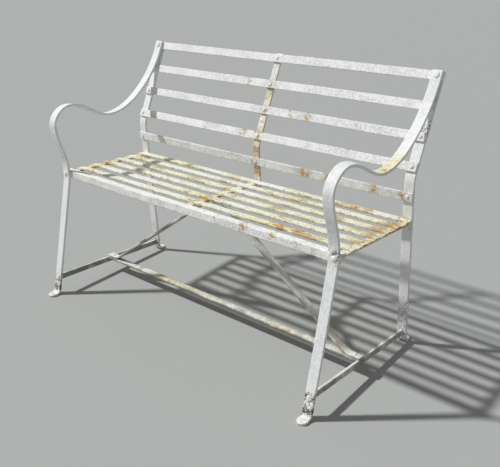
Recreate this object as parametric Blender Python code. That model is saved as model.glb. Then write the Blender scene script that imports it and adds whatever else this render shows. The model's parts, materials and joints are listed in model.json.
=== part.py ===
"""Garden bench of riveted flat iron bars: two leg and arm straps, two posts, rails, slats and braces.

Metres, +Z up. The front of the bench faces -Y and its length lies along X. The sizes below are measured
from the top front edge of the seat's front rail, and the finished bench is centred over its footprint.
"""
import math

import bmesh
import bpy
from mathutils import Vector

# Overall form
LENGTH = 1.165
SEAT_HEIGHT = 0.438
SEAT_DEPTH = 0.358
SEAT_TILT = math.radians(3.2)

# Flat bars: straps for legs, arms and posts, bars for rails and slats, low bars for the bracing
STRAP_WIDTH = 0.031
STRAP_THICK = 0.008
BAR_WIDTH = 0.026
BAR_THICK = 0.006
LOW_WIDTH = 0.026
LOW_THICK = 0.008
EDGE_CUT = 0.0008
CLEARANCE = 0.0003

# Front leg and arm, one strap seen from the side
FRONT_FOOT_REACH = 0.117
FRONT_PAD_LENGTH = 0.034
LAND_ABOVE_SEAT = 0.006
LAND_BELOW_SEAT = 0.028
LEG_BEND_RADIUS = 0.060
FOOT_BEND_RADIUS = 0.016
ARM_BULGE_REACH = 0.0315
ARM_BULGE_HEIGHT = 0.601
ARM_CREST_BACK = 0.035
ARM_CREST_HEIGHT = 0.661
ARM_DIP_BACK = 0.206
ARM_DIP_HEIGHT = 0.598
ARM_LAND = 0.030
ARM_ROUNDNESS = 0.35
ARM_TOP_ROUNDNESS = 0.26

# Back posts and rails
BACK_LEAN = math.radians(25.5)
POST_SPLAY = math.radians(1.2)
BACK_BEND_HEIGHT = 0.5375
BACK_BEND_RADIUS = 0.080
BACK_LENGTH = 0.3036
BACK_PAD_LENGTH = 0.034
RAIL_COUNT = 5
RAIL_PITCH = 0.0857
RAIL_TOP_MARGIN = 0.001
CENTRE_STRAP_RISE = 0.003

# Seat
FRONT_RAIL_DEPTH = 0.026
FRONT_RAIL_HEIGHT = 0.024
SLAT_COUNT = 6
FIRST_SLAT = 0.064
LAST_SLAT_CLEARANCE = 0.0015
TAB_LENGTH = 0.036
TAB_RIVET_MARGIN = 0.010
TAB_BEND_RADIUS = 0.007

# Low side rails, stretcher and braces
SIDE_RAIL_WIDTH = 0.019
SIDE_RAIL_DROP = 0.3725
STRETCHER_BACK = 0.157
BRACE_FOOT_TAB = 0.046
LEFT_BRACE_TOP_TAB = 0.014
RIGHT_BRACE_TOP_TAB = 0.038
BRACE_TAB_OVERLAP = 0.007
BRACE_FOOT_BEND_RADIUS = 0.060
BRACE_TOP_BEND_RADIUS = 0.020
BRACE_RIVET_INSET = 0.014

# Peened tenons and rivets
TENON_WIDTH = 0.012
TENON_THICK = 0.005
TENON_HEAD_RADIUS = 0.0085
TENON_HEAD_HEIGHT = 0.0035
RIVET_RADIUS = 0.0035
RIVET_HEAD_RADIUS = 0.0062
ARM_RIVET_HEAD_RADIUS = 0.0095
RIVET_HEAD_HEIGHT = 0.0028

# Fineness of round stretches
ARC_STEP = math.radians(12.0)
CURVE_STEPS = 11
TIP_STEPS = 4
TIP_ANGLE = math.radians(75.0)
RIVET_SIDES = 10
SMOOTH_ANGLE = math.radians(30.0)
HEAD_PROFILE = ((1.0, 0.0), (0.8, 0.62), (0.4, 1.0))

# Places worked out from the sizes
OUTER_X = LENGTH / 2
STRAP_X = OUTER_X - STRAP_WIDTH / 2
CROSS_BAR_X = OUTER_X - BAR_WIDTH / 2
SIDES = (("left", -1), ("right", 1))
BRACE_TOP_TABS = {"left": LEFT_BRACE_TOP_TAB, "right": RIGHT_BRACE_TOP_TAB}
SEAT_BACKWARD = Vector((math.cos(SEAT_TILT), -math.sin(SEAT_TILT)))
SEAT_UPWARD = Vector((math.sin(SEAT_TILT), math.cos(SEAT_TILT)))
LEAN_UP = Vector((math.sin(BACK_LEAN), math.cos(BACK_LEAN)))
LEAN_BACKWARD = Vector((math.cos(BACK_LEAN), -math.sin(BACK_LEAN)))
SPLAY_DOWN = Vector((math.sin(POST_SPLAY), -math.cos(POST_SPLAY)))
SPLAY_BACKWARD = Vector((math.cos(POST_SPLAY), math.sin(POST_SPLAY)))
UP = Vector((0.0, 1.0))
FORWARD = Vector((-1.0, 0.0))
NO_TURN = (0.0, 0.0, 0.0)
FRONT_TO_BACK = (math.pi / 2, 0.0, 0.0)


# Side view geometry, with points as (y, z) of the bench or (back, up) of the tilted seat

def seat_point(back, up):
    """A point of the tilted seat as seen from the side of the bench."""
    return Vector((0.0, SEAT_HEIGHT)) + SEAT_BACKWARD * back + SEAT_UPWARD * up


def to_seat(point):
    """A side view point of the bench measured in the tilted seat."""
    offset = point - Vector((0.0, SEAT_HEIGHT))
    return Vector((offset.dot(SEAT_BACKWARD), offset.dot(SEAT_UPWARD)))


def turned(vector, angle):
    """A side view vector turned anticlockwise."""
    cosine = math.cos(angle)
    sine = math.sin(angle)
    return Vector((cosine * vector.x - sine * vector.y, sine * vector.x + cosine * vector.y))


def at_height(start, end, offset, height):
    """Where the line from start to end, moved backward by offset, crosses a height."""
    along = (end - start).normalized()
    backward = turned(along, math.copysign(math.pi / 2, -along.y))
    moved = start + backward * offset
    return moved.x + along.x * (height - moved.y) / along.y


def arc_path(corners, radii):
    """Points and directions along straight runs that are joined by arcs at the inner corners."""
    path = [(corners[0], (corners[1] - corners[0]).normalized())]
    for before, corner, after, radius in zip(corners, corners[1:], corners[2:], radii):
        incoming = (corner - before).normalized()
        outgoing = (after - corner).normalized()
        turn = math.atan2(incoming.cross(outgoing), incoming.dot(outgoing))
        inward = turned(incoming, math.copysign(math.pi / 2, turn))
        start = corner - incoming * radius * math.tan(abs(turn) / 2)
        centre = start + inward * radius
        steps = max(2, math.ceil(abs(turn) / ARC_STEP))
        for step in range(steps + 1):
            angle = turn * step / steps
            path.append((centre - turned(inward, angle) * radius, turned(incoming, angle)))
    path.append((corners[-1], (corners[-1] - corners[-2]).normalized()))
    return path


def curve_path(start, leaving, end, arriving, hold_start, hold_end):
    """Points and directions of a smooth curve that leaves and arrives in given directions."""
    reach = (end - start).length
    first = start + leaving * reach * hold_start
    second = end - arriving * reach * hold_end
    path = []
    for step in range(1, CURVE_STEPS + 1):
        t = step / CURVE_STEPS
        r = 1 - t
        point = start * r ** 3 + first * 3 * r * r * t + second * 3 * r * t * t + end * t ** 3
        slope = (first - start) * r * r + (second - first) * 2 * r * t + (end - second) * t * t
        path.append((point, slope.normalized()))
    return path


def even_width(path, width):
    """Stations of a path with the same bar width all along."""
    return [(point, direction, width) for point, direction in path]


def round_start(path, width):
    """Stations of a path whose bar starts with a rounded tip."""
    tip, direction = path[0]
    stations = []
    for step in range(TIP_STEPS):
        angle = TIP_ANGLE * (1 - step / (TIP_STEPS - 1))
        point = tip + direction * (1 - math.sin(angle)) * width / 2
        stations.append((point, direction, width * math.cos(angle)))
    return stations + even_width(path[1:], width)


# Cross-sections, each a list of (across, through) points

def flat_outline(width, thick):
    """A flat bar with its edges cut off."""
    w = width / 2
    t = thick / 2
    c = EDGE_CUT
    right = [(w, c - t), (w, t - c), (w - c, t)]
    left = [(c - w, t), (-w, t - c), (-w, c - t)]
    return right + left + [(c - w, -t), (w - c, -t)]


def split_outline(width, thick):
    """The same bar with a point in the middle of each side, to meet a round outline of twelve points."""
    points = flat_outline(width, thick)
    return [(width / 2, 0.0), points[1], points[2], (0.0, thick / 2), points[3], points[4],
            (-width / 2, 0.0), points[5], points[6], (0.0, -thick / 2), points[7], points[0]]


def round_outline(radius, sides):
    """A regular outline around the middle."""
    angles = [2 * math.pi * side / sides for side in range(sides)]
    return [(radius * math.cos(angle), radius * math.sin(angle)) for angle in angles]


# Meshes

def sweep(stations, outline, thick, place):
    """Rings of a bar along side view stations; place puts (side view point, across) into space."""
    rings = []
    for point, direction, width in stations:
        normal = turned(direction, math.pi / 2)
        rings.append([place(point + normal * v, u) for u, v in outline(width, thick)])
    return rings


def side_view(point, across):
    """A side view point in space, with the bar's width along X."""
    return Vector((across, point.x, point.y))


def front_view(point, across):
    """A front view point in space, with the bar's width along Y."""
    return Vector((point.x, across, point.y))


def lying(x, u, v):
    """A point of a bar that lies flat along X."""
    return Vector((x, u, v))


def standing(x, u, v):
    """A point of a bar that stands on edge along X."""
    return Vector((x, v, u))


def straight_rings(length, width, thick, place):
    """Rings of a straight bar along X."""
    outline = flat_outline(width, thick)
    return [[place(x, u, v) for u, v in outline] for x in (-length / 2, length / 2)]


def tenon_rings(place, shoulder, head):
    """Rings of a peened tenon from its shoulder to the crown of its head."""
    way = math.copysign(1.0, head - shoulder)
    tenon = split_outline(TENON_WIDTH, TENON_THICK)
    levels = [(tenon, shoulder), (tenon, head)]
    for share, rise in HEAD_PROFILE:
        outline = round_outline(TENON_HEAD_RADIUS * share, len(tenon))
        levels.append((outline, head + way * rise * TENON_HEAD_HEIGHT))
    return [[place(u, v, depth) for u, v in outline] for outline, depth in levels]


def tenon_hole_rings(place, shoulder, head):
    """Rings of the hole for a tenon, longer than the tenon by the height of its head at both ends."""
    spare = math.copysign(TENON_HEAD_HEIGHT, head - shoulder)
    hole = split_outline(TENON_WIDTH + 2 * CLEARANCE, TENON_THICK + 2 * CLEARANCE)
    return [[place(u, v, depth) for u, v in hole] for depth in (shoulder - spare, head + spare)]


def lofted_mesh(name, rings):
    """A closed mesh through rings with equally many points."""
    shape = bmesh.new()
    loops = [[shape.verts.new(point) for point in ring] for ring in rings]
    for lower, upper in zip(loops, loops[1:]):
        for a in range(len(lower)):
            b = (a + 1) % len(lower)
            shape.faces.new((lower[a], lower[b], upper[b], upper[a]))
    shape.faces.new(loops[0])
    shape.faces.new(loops[-1])
    bmesh.ops.recalc_face_normals(shape, faces=shape.faces)
    mesh = bpy.data.meshes.new(name)
    shape.to_mesh(mesh)
    shape.free()
    mesh.shade_smooth()
    mesh.set_sharp_from_angle(angle=SMOOTH_ANGLE)
    return mesh


# Objects

def add_frame(name, parent, location, lean):
    """An empty that carries pieces, leaning back by an angle."""
    frame = bpy.data.objects.new(name, None)
    bpy.context.scene.collection.objects.link(frame)
    frame.parent = parent
    frame.location = location
    frame.rotation_euler = (-lean, 0.0, 0.0)
    return frame


def add_piece(name, rings, material, parent, location=(0.0, 0.0, 0.0), rotation=NO_TURN):
    """One bar or rivet as an object."""
    mesh = lofted_mesh(name, rings)
    mesh.materials.append(material)
    piece = bpy.data.objects.new(name, mesh)
    bpy.context.scene.collection.objects.link(piece)
    piece.parent = parent
    piece.location = location
    piece.rotation_euler = rotation
    return piece


def add_hole(name, rings, pieces, parent, location=(0.0, 0.0, 0.0), rotation=NO_TURN):
    """A hidden cutter and the cuts that it makes in pieces."""
    cutter = bpy.data.objects.new(name, lofted_mesh(name, rings))
    bpy.context.scene.collection.objects.link(cutter)
    cutter.parent = parent
    cutter.location = location
    cutter.rotation_euler = rotation
    cutter.hide_render = True
    cutter.display_type = "WIRE"
    for piece in pieces:
        cut = piece.modifiers.new(name, "BOOLEAN")
        cut.operation = "DIFFERENCE"
        cut.solver = "EXACT"
        cut.object = cutter


def add_rivet(name, material, parent, location, rotation, pieces, thick, flush=False,
              head_radius=RIVET_HEAD_RADIUS):
    """A rivet through stacked pieces, its first head at location, and the holes for it."""
    grip = thick + 2 * CLEARANCE
    heads = [(head_radius * share, RIVET_HEAD_HEIGHT * rise) for share, rise in HEAD_PROFILE]
    levels = [(RIVET_RADIUS, 0.0 if not flush else -CLEARANCE), (RIVET_RADIUS, -grip)]
    if not flush:
        levels = [(radius, rise) for radius, rise in reversed(heads)] + levels
    levels += [(radius, -grip - rise) for radius, rise in heads]
    rings = [[Vector((u, v, z)) for u, v in round_outline(radius, RIVET_SIDES)] for radius, z in levels]
    hole = round_outline(RIVET_RADIUS + CLEARANCE, RIVET_SIDES)
    ends = (RIVET_HEAD_HEIGHT, -grip - RIVET_HEAD_HEIGHT)
    hole_rings = [[Vector((u, v, z)) for u, v in hole] for z in ends]
    add_hole("hole_" + name, hole_rings, pieces, parent, location, rotation)
    return add_piece(name, rings, material, parent, location, rotation)


def add_material(name, colour, roughness, metallic):
    """A painted finish."""
    material = bpy.data.materials.new(name)
    material.use_nodes = True
    shader = material.node_tree.nodes["Principled BSDF"]
    shader.inputs["Base Color"].default_value = (*colour, 1.0)
    shader.inputs["Roughness"].default_value = roughness
    shader.inputs["Metallic"].default_value = metallic
    return material


# Straps

def front_bend():
    """The front corner of the post's bend."""
    seat_back = seat_point(SEAT_DEPTH, 0.0)
    rise = (BACK_BEND_HEIGHT - seat_back.y) / -SPLAY_DOWN.y
    return seat_back - SPLAY_DOWN * rise


def bend_behind(offset):
    """The corner of the post's bend on a line behind its front face."""
    both = SPLAY_BACKWARD + LEAN_BACKWARD
    return front_bend() + both * 2 * offset / both.length_squared


def rail_seat(place):
    """Where a rail lies on the posts' front face and the lean there, by its way up from the bend."""
    half_turn = (BACK_LEAN + POST_SPLAY) / 2
    bend_reach = BACK_BEND_RADIUS * math.tan(half_turn)
    share = max(-1.0, min(1.0, place / bend_reach))
    lean = (BACK_LEAN - POST_SPLAY) / 2 + share * half_turn
    upward = Vector((math.sin(lean), math.cos(lean)))
    backward = Vector((math.cos(lean), -math.sin(lean)))
    on_bend = bend_behind(BACK_BEND_RADIUS) - backward * BACK_BEND_RADIUS
    return on_bend + upward * (place - share * bend_reach), lean


def leg_line():
    """The two ends of the front leg's straight run, on the strap's centre line."""
    top = seat_point(-CLEARANCE - STRAP_THICK / 2, -LAND_BELOW_SEAT)
    return top, Vector((-FRONT_FOOT_REACH, STRAP_THICK / 2))


def post_line():
    """Two points on the front face of the post's lower run."""
    return front_bend(), front_bend() + SPLAY_DOWN


def leg_arm_stations():
    """The front strap from the tip of its foot to its top end."""
    leg_top, foot = leg_line()
    tip = foot + FORWARD * FRONT_PAD_LENGTH
    land_top = seat_point(-CLEARANCE - STRAP_THICK / 2, LAND_ABOVE_SEAT)
    bulge = Vector((-ARM_BULGE_REACH, ARM_BULGE_HEIGHT))
    crest = Vector((ARM_CREST_BACK, ARM_CREST_HEIGHT))
    dip = Vector((ARM_DIP_BACK, ARM_DIP_HEIGHT))
    ahead = LEAN_BACKWARD * (2 * CLEARANCE + BAR_THICK + STRAP_THICK / 2)
    top = front_bend() + LEAN_UP * BACK_LENGTH - ahead
    top_land = top - LEAN_UP * ARM_LAND
    hold = ARM_ROUNDNESS
    path = arc_path([tip, foot, leg_top, land_top], [FOOT_BEND_RADIUS, LEG_BEND_RADIUS])
    path += curve_path(land_top, SEAT_UPWARD, bulge, UP, hold, hold)
    path += curve_path(bulge, UP, crest, -FORWARD, hold, hold)
    path += curve_path(crest, -FORWARD, dip, -FORWARD, hold, hold)
    path += curve_path(dip, -FORWARD, top_land, LEAN_UP, hold, ARM_TOP_ROUNDNESS)
    path.append((top, LEAN_UP))
    return round_start(path, STRAP_WIDTH)


def post_stations():
    """The back strap from the tip of its foot to its top end."""
    bend = bend_behind(STRAP_THICK / 2)
    drop = (bend.y - STRAP_THICK / 2) / -SPLAY_DOWN.y
    foot = bend + SPLAY_DOWN * drop
    tip = foot - FORWARD * BACK_PAD_LENGTH
    top = front_bend() + LEAN_BACKWARD * STRAP_THICK / 2 + LEAN_UP * BACK_LENGTH
    path = arc_path([tip, foot, bend, top], [FOOT_BEND_RADIUS, BACK_BEND_RADIUS - STRAP_THICK / 2])
    return round_start(path, STRAP_WIDTH)


def tab_end():
    """The lower end of the cross bars' tabs on the post's front face."""
    return seat_tab_line(-TAB_LENGTH)


def seat_tab_line(up):
    """A point on the centre line of the cross bars' tabs, at a height of the tilted seat."""
    start, end = [to_seat(point) for point in post_line()]
    return Vector((at_height(start, end, -CLEARANCE - BAR_THICK / 2, up), up))


def centre_strap_stations():
    """The strap behind the rails, from the tabs' lower end to its top end."""
    low = tab_end()
    lowest = seat_point(low.x, low.y) + SPLAY_BACKWARD * (CLEARANCE + BAR_THICK)
    top = front_bend() + LEAN_BACKWARD * BAR_THICK / 2 + LEAN_UP * (BACK_LENGTH + CENTRE_STRAP_RISE)
    path = arc_path([lowest, bend_behind(BAR_THICK / 2), top], [BACK_BEND_RADIUS - BAR_THICK / 2])
    return even_width(path, BAR_WIDTH)


# Seat pieces, in the tilted seat's frame

def front_rail_rings():
    """The angle bar along the seat's front edge."""
    depth = FRONT_RAIL_DEPTH
    height = FRONT_RAIL_HEIGHT
    wall = BAR_THICK
    cut = EDGE_CUT
    shelf = [(cut, 0.0), (depth, 0.0), (depth, -wall), (wall, -wall)]
    outline = shelf + [(wall, -height), (0.0, -height), (0.0, -cut)]
    return [[Vector((x, s, h)) for s, h in outline] for x in (-OUTER_X, OUTER_X)]


def cross_bar_level():
    """Height of the cross bars' centre line in the tilted seat."""
    return -BAR_THICK - CLEARANCE - BAR_THICK / 2


def front_tenon_place(u, v, depth):
    """A point of a cross bar's front tenon, depth behind the seat's front edge."""
    return Vector((u, depth, cross_bar_level() + v))


def front_tenon_span():
    """The shoulder and the head of a cross bar's front tenon, behind the seat's front edge."""
    return BAR_THICK + CLEARANCE, -STRAP_THICK - 2 * CLEARANCE


def cross_bar_rings(with_tenon):
    """A bar under the slats, turned down at the back and, at the ends of the seat, tenoned at the front."""
    shoulder, head = front_tenon_span()
    level = cross_bar_level()
    corners = [Vector((shoulder, level)), seat_tab_line(level), tab_end()]
    stations = even_width(arc_path(corners, [TAB_BEND_RADIUS]), BAR_WIDTH)
    rings = sweep(stations, split_outline, BAR_THICK, side_view)
    if with_tenon:
        rings = tenon_rings(front_tenon_place, shoulder, head)[::-1] + rings
    return rings


def side_rail_ends():
    """Two functions that place a point of the side rail, by depth from the leg and from the post."""
    leg_top, leg_foot = [to_seat(point) for point in leg_line()]
    post_top, post_low = [to_seat(point) for point in post_line()]

    centre = -SIDE_RAIL_DROP - SIDE_RAIL_WIDTH / 2

    def at_leg(u, v, depth):
        return Vector((v, at_height(leg_top, leg_foot, depth, centre + u), centre + u))

    def at_post(u, v, depth):
        return Vector((v, at_height(post_top, post_low, depth, centre + u), centre + u))

    return at_leg, at_post


def leg_tenon_span():
    """The shoulder and the head of the side rail's front tenon, from the leg's centre line."""
    reach = STRAP_THICK / 2 + CLEARANCE
    return reach, -reach


def post_tenon_span():
    """The shoulder and the head of the side rail's back tenon, from the post's front face."""
    return -CLEARANCE, STRAP_THICK + CLEARANCE


def side_rail_rings():
    """A bar on edge from leg to post, with a peened tenon through each."""
    at_leg, at_post = side_rail_ends()
    outline = split_outline(SIDE_RAIL_WIDTH, LOW_THICK)
    front, front_head = leg_tenon_span()
    back, back_head = post_tenon_span()
    rings = tenon_rings(at_leg, front, front_head)[::-1]
    rings.append([at_leg(u, v, front) for u, v in outline])
    rings.append([at_post(u, v, back) for u, v in outline])
    return rings + tenon_rings(at_post, back, back_head)


def stretcher_level():
    """Height of the stretcher's centre line; its top is level with the side rails' top edges."""
    return -SIDE_RAIL_DROP - LOW_THICK / 2


def stretcher_rings():
    """The flat bar between the side rails, with a flush tenon into each."""
    shoulder = STRAP_X - LOW_THICK / 2 - CLEARANCE
    end = STRAP_X + LOW_THICK / 2
    bar = flat_outline(LOW_WIDTH, LOW_THICK)
    tenon = flat_outline(TENON_WIDTH, TENON_THICK)
    left = [(tenon, -end), (tenon, -shoulder), (bar, -shoulder)]
    levels = left + [(bar, shoulder), (tenon, shoulder), (tenon, end)]
    return [[lying(x, u, v) for u, v in outline] for outline, x in levels]


def brace_foot_level():
    """Height of the braces' foot tabs, on the side rails and the stretcher."""
    return -SIDE_RAIL_DROP + CLEARANCE + LOW_THICK / 2


def brace_top_level(order):
    """Height of a brace's top tab under the centre cross bar; the second lies under the first."""
    first = cross_bar_level() - BAR_THICK / 2 - CLEARANCE - LOW_THICK / 2
    return first - order * (LOW_THICK + CLEARANCE)


def brace_rings(side, order, top_tab):
    """A diagonal bar with a flat tab at both ends."""
    foot = brace_foot_level()
    top = brace_top_level(order)
    corners = [
        Vector((side * (STRAP_X + LOW_THICK / 2), foot)),
        Vector((side * (STRAP_X - BRACE_FOOT_TAB), foot)),
        Vector((side * top_tab, top)),
        Vector((-side * BRACE_TAB_OVERLAP, top)),
    ]
    bends = [BRACE_FOOT_BEND_RADIUS, BRACE_TOP_BEND_RADIUS]
    stations = even_width(arc_path(corners, bends), LOW_WIDTH)
    return sweep(stations, flat_outline, LOW_THICK, front_view)


def build():
    """Make the whole bench."""
    for old in list(bpy.data.objects):
        bpy.data.objects.remove(old, do_unlink=True)

    white = add_material("white_paint", (0.78, 0.79, 0.75), 0.62, 0.0)
    pitted = add_material("pitted_rail_paint", (0.62, 0.62, 0.63), 0.75, 0.0)
    stained = add_material("stained_slat_paint", (0.72, 0.69, 0.55), 0.78, 0.0)
    dirty = add_material("dirty_low_paint", (0.50, 0.52, 0.47), 0.80, 0.0)
    rivet_paint = add_material("rivet_paint", (0.60, 0.57, 0.51), 0.72, 0.0)

    bend = front_bend()
    bench = add_frame("bench", None, (0.0, 0.0, 0.0), 0.0)
    seat = add_frame("seat_frame", bench, (0.0, 0.0, SEAT_HEIGHT), SEAT_TILT)
    upright = add_frame("upright_back_frame", bench, (0.0, bend.x, bend.y), -POST_SPLAY)

    # Legs with arms, and posts
    pieces = {}
    for word, side in SIDES:
        place = (side * STRAP_X, 0.0, 0.0)
        leg_rings = sweep(leg_arm_stations(), flat_outline, STRAP_THICK, side_view)
        pieces["leg", word] = add_piece("front_leg_arm_" + word, leg_rings, white, bench, place)
        post_rings = sweep(post_stations(), flat_outline, STRAP_THICK, side_view)
        pieces["post", word] = add_piece("back_post_" + word, post_rings, white, bench, place)
    centre_rings = sweep(centre_strap_stations(), flat_outline, BAR_THICK, side_view)
    centre_strap = add_piece("centre_back_strap", centre_rings, pitted, bench)

    # Back rails, on the posts and the centre strap
    top_rail = BACK_LENGTH - RAIL_TOP_MARGIN - BAR_WIDTH / 2
    for number in range(RAIL_COUNT):
        seat_of_rail, lean = rail_seat(top_rail - number * RAIL_PITCH)
        label = str(number + 1)
        frame = add_frame("rail_frame_" + label, bench, (0.0, seat_of_rail.x, seat_of_rail.y), lean)
        rail_rings = straight_rings(LENGTH, BAR_WIDTH, BAR_THICK, standing)
        rail_y = -CLEARANCE - BAR_THICK / 2
        rail = add_piece("back_rail_" + label, rail_rings, pitted, frame, (0.0, rail_y, 0.0))
        face = -BAR_THICK - 2 * CLEARANCE
        add_rivet("rivet_rail_" + label + "_centre", rivet_paint, frame, (0.0, face, 0.0), FRONT_TO_BACK,
                  [rail, centre_strap], 2 * BAR_THICK + CLEARANCE)
        for word, side in SIDES:
            stack = [rail, pieces["post", word]]
            thick = BAR_THICK + CLEARANCE + STRAP_THICK
            front = face
            head_radius = RIVET_HEAD_RADIUS
            if number == 0:
                stack.append(pieces["leg", word])
                thick += CLEARANCE + STRAP_THICK
                front -= CLEARANCE + STRAP_THICK
                head_radius = ARM_RIVET_HEAD_RADIUS
            add_rivet("rivet_rail_" + label + "_" + word, rivet_paint, frame, (side * STRAP_X, front, 0.0),
                      FRONT_TO_BACK, stack, thick, head_radius=head_radius)

    # Seat: front rail, slats and cross bars
    front_rail = add_piece("seat_front_rail", front_rail_rings(), stained, seat)
    last_slat = SEAT_DEPTH - LAST_SLAT_CLEARANCE - BAR_WIDTH / 2
    slat_pitch = (last_slat - FIRST_SLAT) / (SLAT_COUNT - 1)
    for number in range(SLAT_COUNT):
        slat_rings = straight_rings(LENGTH, BAR_WIDTH, BAR_THICK, lying)
        place = (0.0, FIRST_SLAT + number * slat_pitch, -BAR_THICK / 2)
        add_piece("seat_slat_" + str(number + 1), slat_rings, stained, seat, place)
    tab_rivet = (to_seat(bend) - tab_end()).length - TAB_RIVET_MARGIN
    for word, side in SIDES:
        place = (side * CROSS_BAR_X, 0.0, 0.0)
        bar = add_piece("seat_cross_bar_" + word, cross_bar_rings(True), stained, seat, place)
        add_hole("hole_cross_bar_" + word, tenon_hole_rings(front_tenon_place, *front_tenon_span()),
                 [front_rail, pieces["leg", word]], seat, place)
        add_rivet("rivet_cross_bar_" + word, rivet_paint, upright,
                  (side * CROSS_BAR_X, -BAR_THICK - 2 * CLEARANCE, -tab_rivet), FRONT_TO_BACK,
                  [bar, pieces["post", word]], BAR_THICK + CLEARANCE + STRAP_THICK)
    centre_bar = add_piece("seat_cross_bar_centre", cross_bar_rings(False), stained, seat)
    add_rivet("rivet_cross_bar_centre", rivet_paint, upright,
              (0.0, -BAR_THICK - 2 * CLEARANCE, -tab_rivet), FRONT_TO_BACK,
              [centre_bar, centre_strap], 2 * BAR_THICK + CLEARANCE)

    # Side rails, stretcher and braces
    at_leg, at_post = side_rail_ends()
    stretcher_place = (0.0, STRETCHER_BACK, stretcher_level())
    stretcher = add_piece("stretcher", stretcher_rings(), dirty, seat, stretcher_place)
    stretcher_hole = flat_outline(TENON_WIDTH + 2 * CLEARANCE, TENON_THICK + 2 * CLEARANCE)
    braces = []
    for order, (word, side) in enumerate(SIDES):
        place = (side * STRAP_X, 0.0, 0.0)
        rail = add_piece("side_rail_" + word, side_rail_rings(), dirty, seat, place)
        add_hole("hole_side_rail_front_" + word, tenon_hole_rings(at_leg, *leg_tenon_span()),
                 [pieces["leg", word]], seat, place)
        add_hole("hole_side_rail_back_" + word, tenon_hole_rings(at_post, *post_tenon_span()),
                 [pieces["post", word]], seat, place)
        hole_rings = [[lying(x, u, v) for u, v in stretcher_hole] for x in (-LOW_THICK, LOW_THICK)]
        add_hole("hole_stretcher_" + word, hole_rings, [rail], seat,
                 (side * STRAP_X, STRETCHER_BACK, stretcher_level()))
        bent = brace_rings(side, order, BRACE_TOP_TABS[word])
        brace = add_piece("brace_" + word, bent, dirty, seat, (0.0, STRETCHER_BACK, 0.0))
        braces.append(brace)
        rivet_x = side * (STRAP_X - LOW_THICK / 2 - CLEARANCE - BRACE_RIVET_INSET)
        rivet_top = brace_foot_level() + LOW_THICK / 2 + CLEARANCE
        add_rivet("rivet_brace_" + word, rivet_paint, seat, (rivet_x, STRETCHER_BACK, rivet_top), NO_TURN,
                  [brace, stretcher], 2 * LOW_THICK + CLEARANCE)
    bar_top = cross_bar_level() + BAR_THICK / 2 + CLEARANCE
    add_rivet("rivet_brace_tops", rivet_paint, seat, (0.0, STRETCHER_BACK, bar_top), NO_TURN,
              [centre_bar] + braces, BAR_THICK + 2 * (CLEARANCE + LOW_THICK), flush=True)

    # Centre the bench over its footprint
    bpy.context.view_layer.update()
    solids = [piece for piece in bpy.data.objects if piece.type == "MESH" and not piece.hide_render]
    depths = [(piece.matrix_world @ vertex.co).y for piece in solids for vertex in piece.data.vertices]
    bench.location.y = -(min(depths) + max(depths)) / 2
    bpy.context.view_layer.update()
    print(len(solids), "pieces, depth", round(max(depths) - min(depths), 4))


build()
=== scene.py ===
# %% [markdown]
# # A weathered wrought iron garden bench
#
# The real bench is forged from flat iron bars that are riveted together and painted white, coat over coat,
# until rust lifts the paint again. The frame holds every bar at its true size and place. This lesson gives
# each bar a worn surface: soft edges, lumps and pits in the mesh, and paint, stains and rust in the
# material.

# %% Load the frame
import json
import math

import bpy
from mathutils import Matrix, Vector, noise


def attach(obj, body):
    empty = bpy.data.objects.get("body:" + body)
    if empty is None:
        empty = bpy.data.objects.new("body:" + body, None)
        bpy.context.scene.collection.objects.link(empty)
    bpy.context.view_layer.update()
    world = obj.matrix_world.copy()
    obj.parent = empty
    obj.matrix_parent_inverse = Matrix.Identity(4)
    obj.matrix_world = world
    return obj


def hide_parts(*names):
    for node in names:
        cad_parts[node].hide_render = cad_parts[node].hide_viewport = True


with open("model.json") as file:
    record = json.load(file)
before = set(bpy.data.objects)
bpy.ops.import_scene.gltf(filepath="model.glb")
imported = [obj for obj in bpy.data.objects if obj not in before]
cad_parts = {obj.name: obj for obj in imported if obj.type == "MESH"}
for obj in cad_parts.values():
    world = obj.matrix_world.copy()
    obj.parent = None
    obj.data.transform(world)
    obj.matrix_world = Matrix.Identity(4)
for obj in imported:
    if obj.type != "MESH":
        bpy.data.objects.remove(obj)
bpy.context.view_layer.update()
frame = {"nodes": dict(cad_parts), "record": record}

# %% [markdown]
# ## Camera
#
# The bench is seen from above its front right corner, by a camera that is turned, dipped and a little
# rolled. A camera could be aimed with a constraint, but a constraint knows no roll, so its three axes are
# worked out and written into its matrix. The lens comes from a focal length in pixels of a picture 500
# pixels wide.

# %% Camera
IMAGE_WIDTH = 500
IMAGE_HEIGHT = 467
SENSOR_WIDTH = 36.0
FOCAL_PIXELS = 696.3
AXIS_PIXEL = (245.9, 246.5)
EYE = Vector((1.466, -1.479, 1.186))
TURN = math.radians(42.557)
DIP = math.radians(24.525)
ROLL = math.radians(-2.225)

ahead = Vector((-math.sin(TURN) * math.cos(DIP), math.cos(TURN) * math.cos(DIP), -math.sin(DIP)))
level_right = Vector((math.cos(TURN), math.sin(TURN), 0.0))
level_up = level_right.cross(ahead)
camera_right = level_right * math.cos(ROLL) + level_up * math.sin(ROLL)
camera_up = level_up * math.cos(ROLL) - level_right * math.sin(ROLL)

lens = bpy.data.cameras.new("bench_camera")
lens.sensor_fit = "HORIZONTAL"
lens.sensor_width = SENSOR_WIDTH
lens.lens = FOCAL_PIXELS / IMAGE_WIDTH * SENSOR_WIDTH
lens.shift_x = (IMAGE_WIDTH / 2 - AXIS_PIXEL[0]) / IMAGE_WIDTH
lens.shift_y = (AXIS_PIXEL[1] - IMAGE_HEIGHT / 2) / IMAGE_WIDTH
camera = bpy.data.objects.new("bench_camera", lens)
bpy.context.scene.collection.objects.link(camera)
axes = Matrix((camera_right, camera_up, -ahead)).transposed()
camera.matrix_world = Matrix.Translation(EYE) @ axes.to_4x4()
bpy.context.scene.camera = camera
print("lens", round(lens.lens, 2), "mm")

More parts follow.
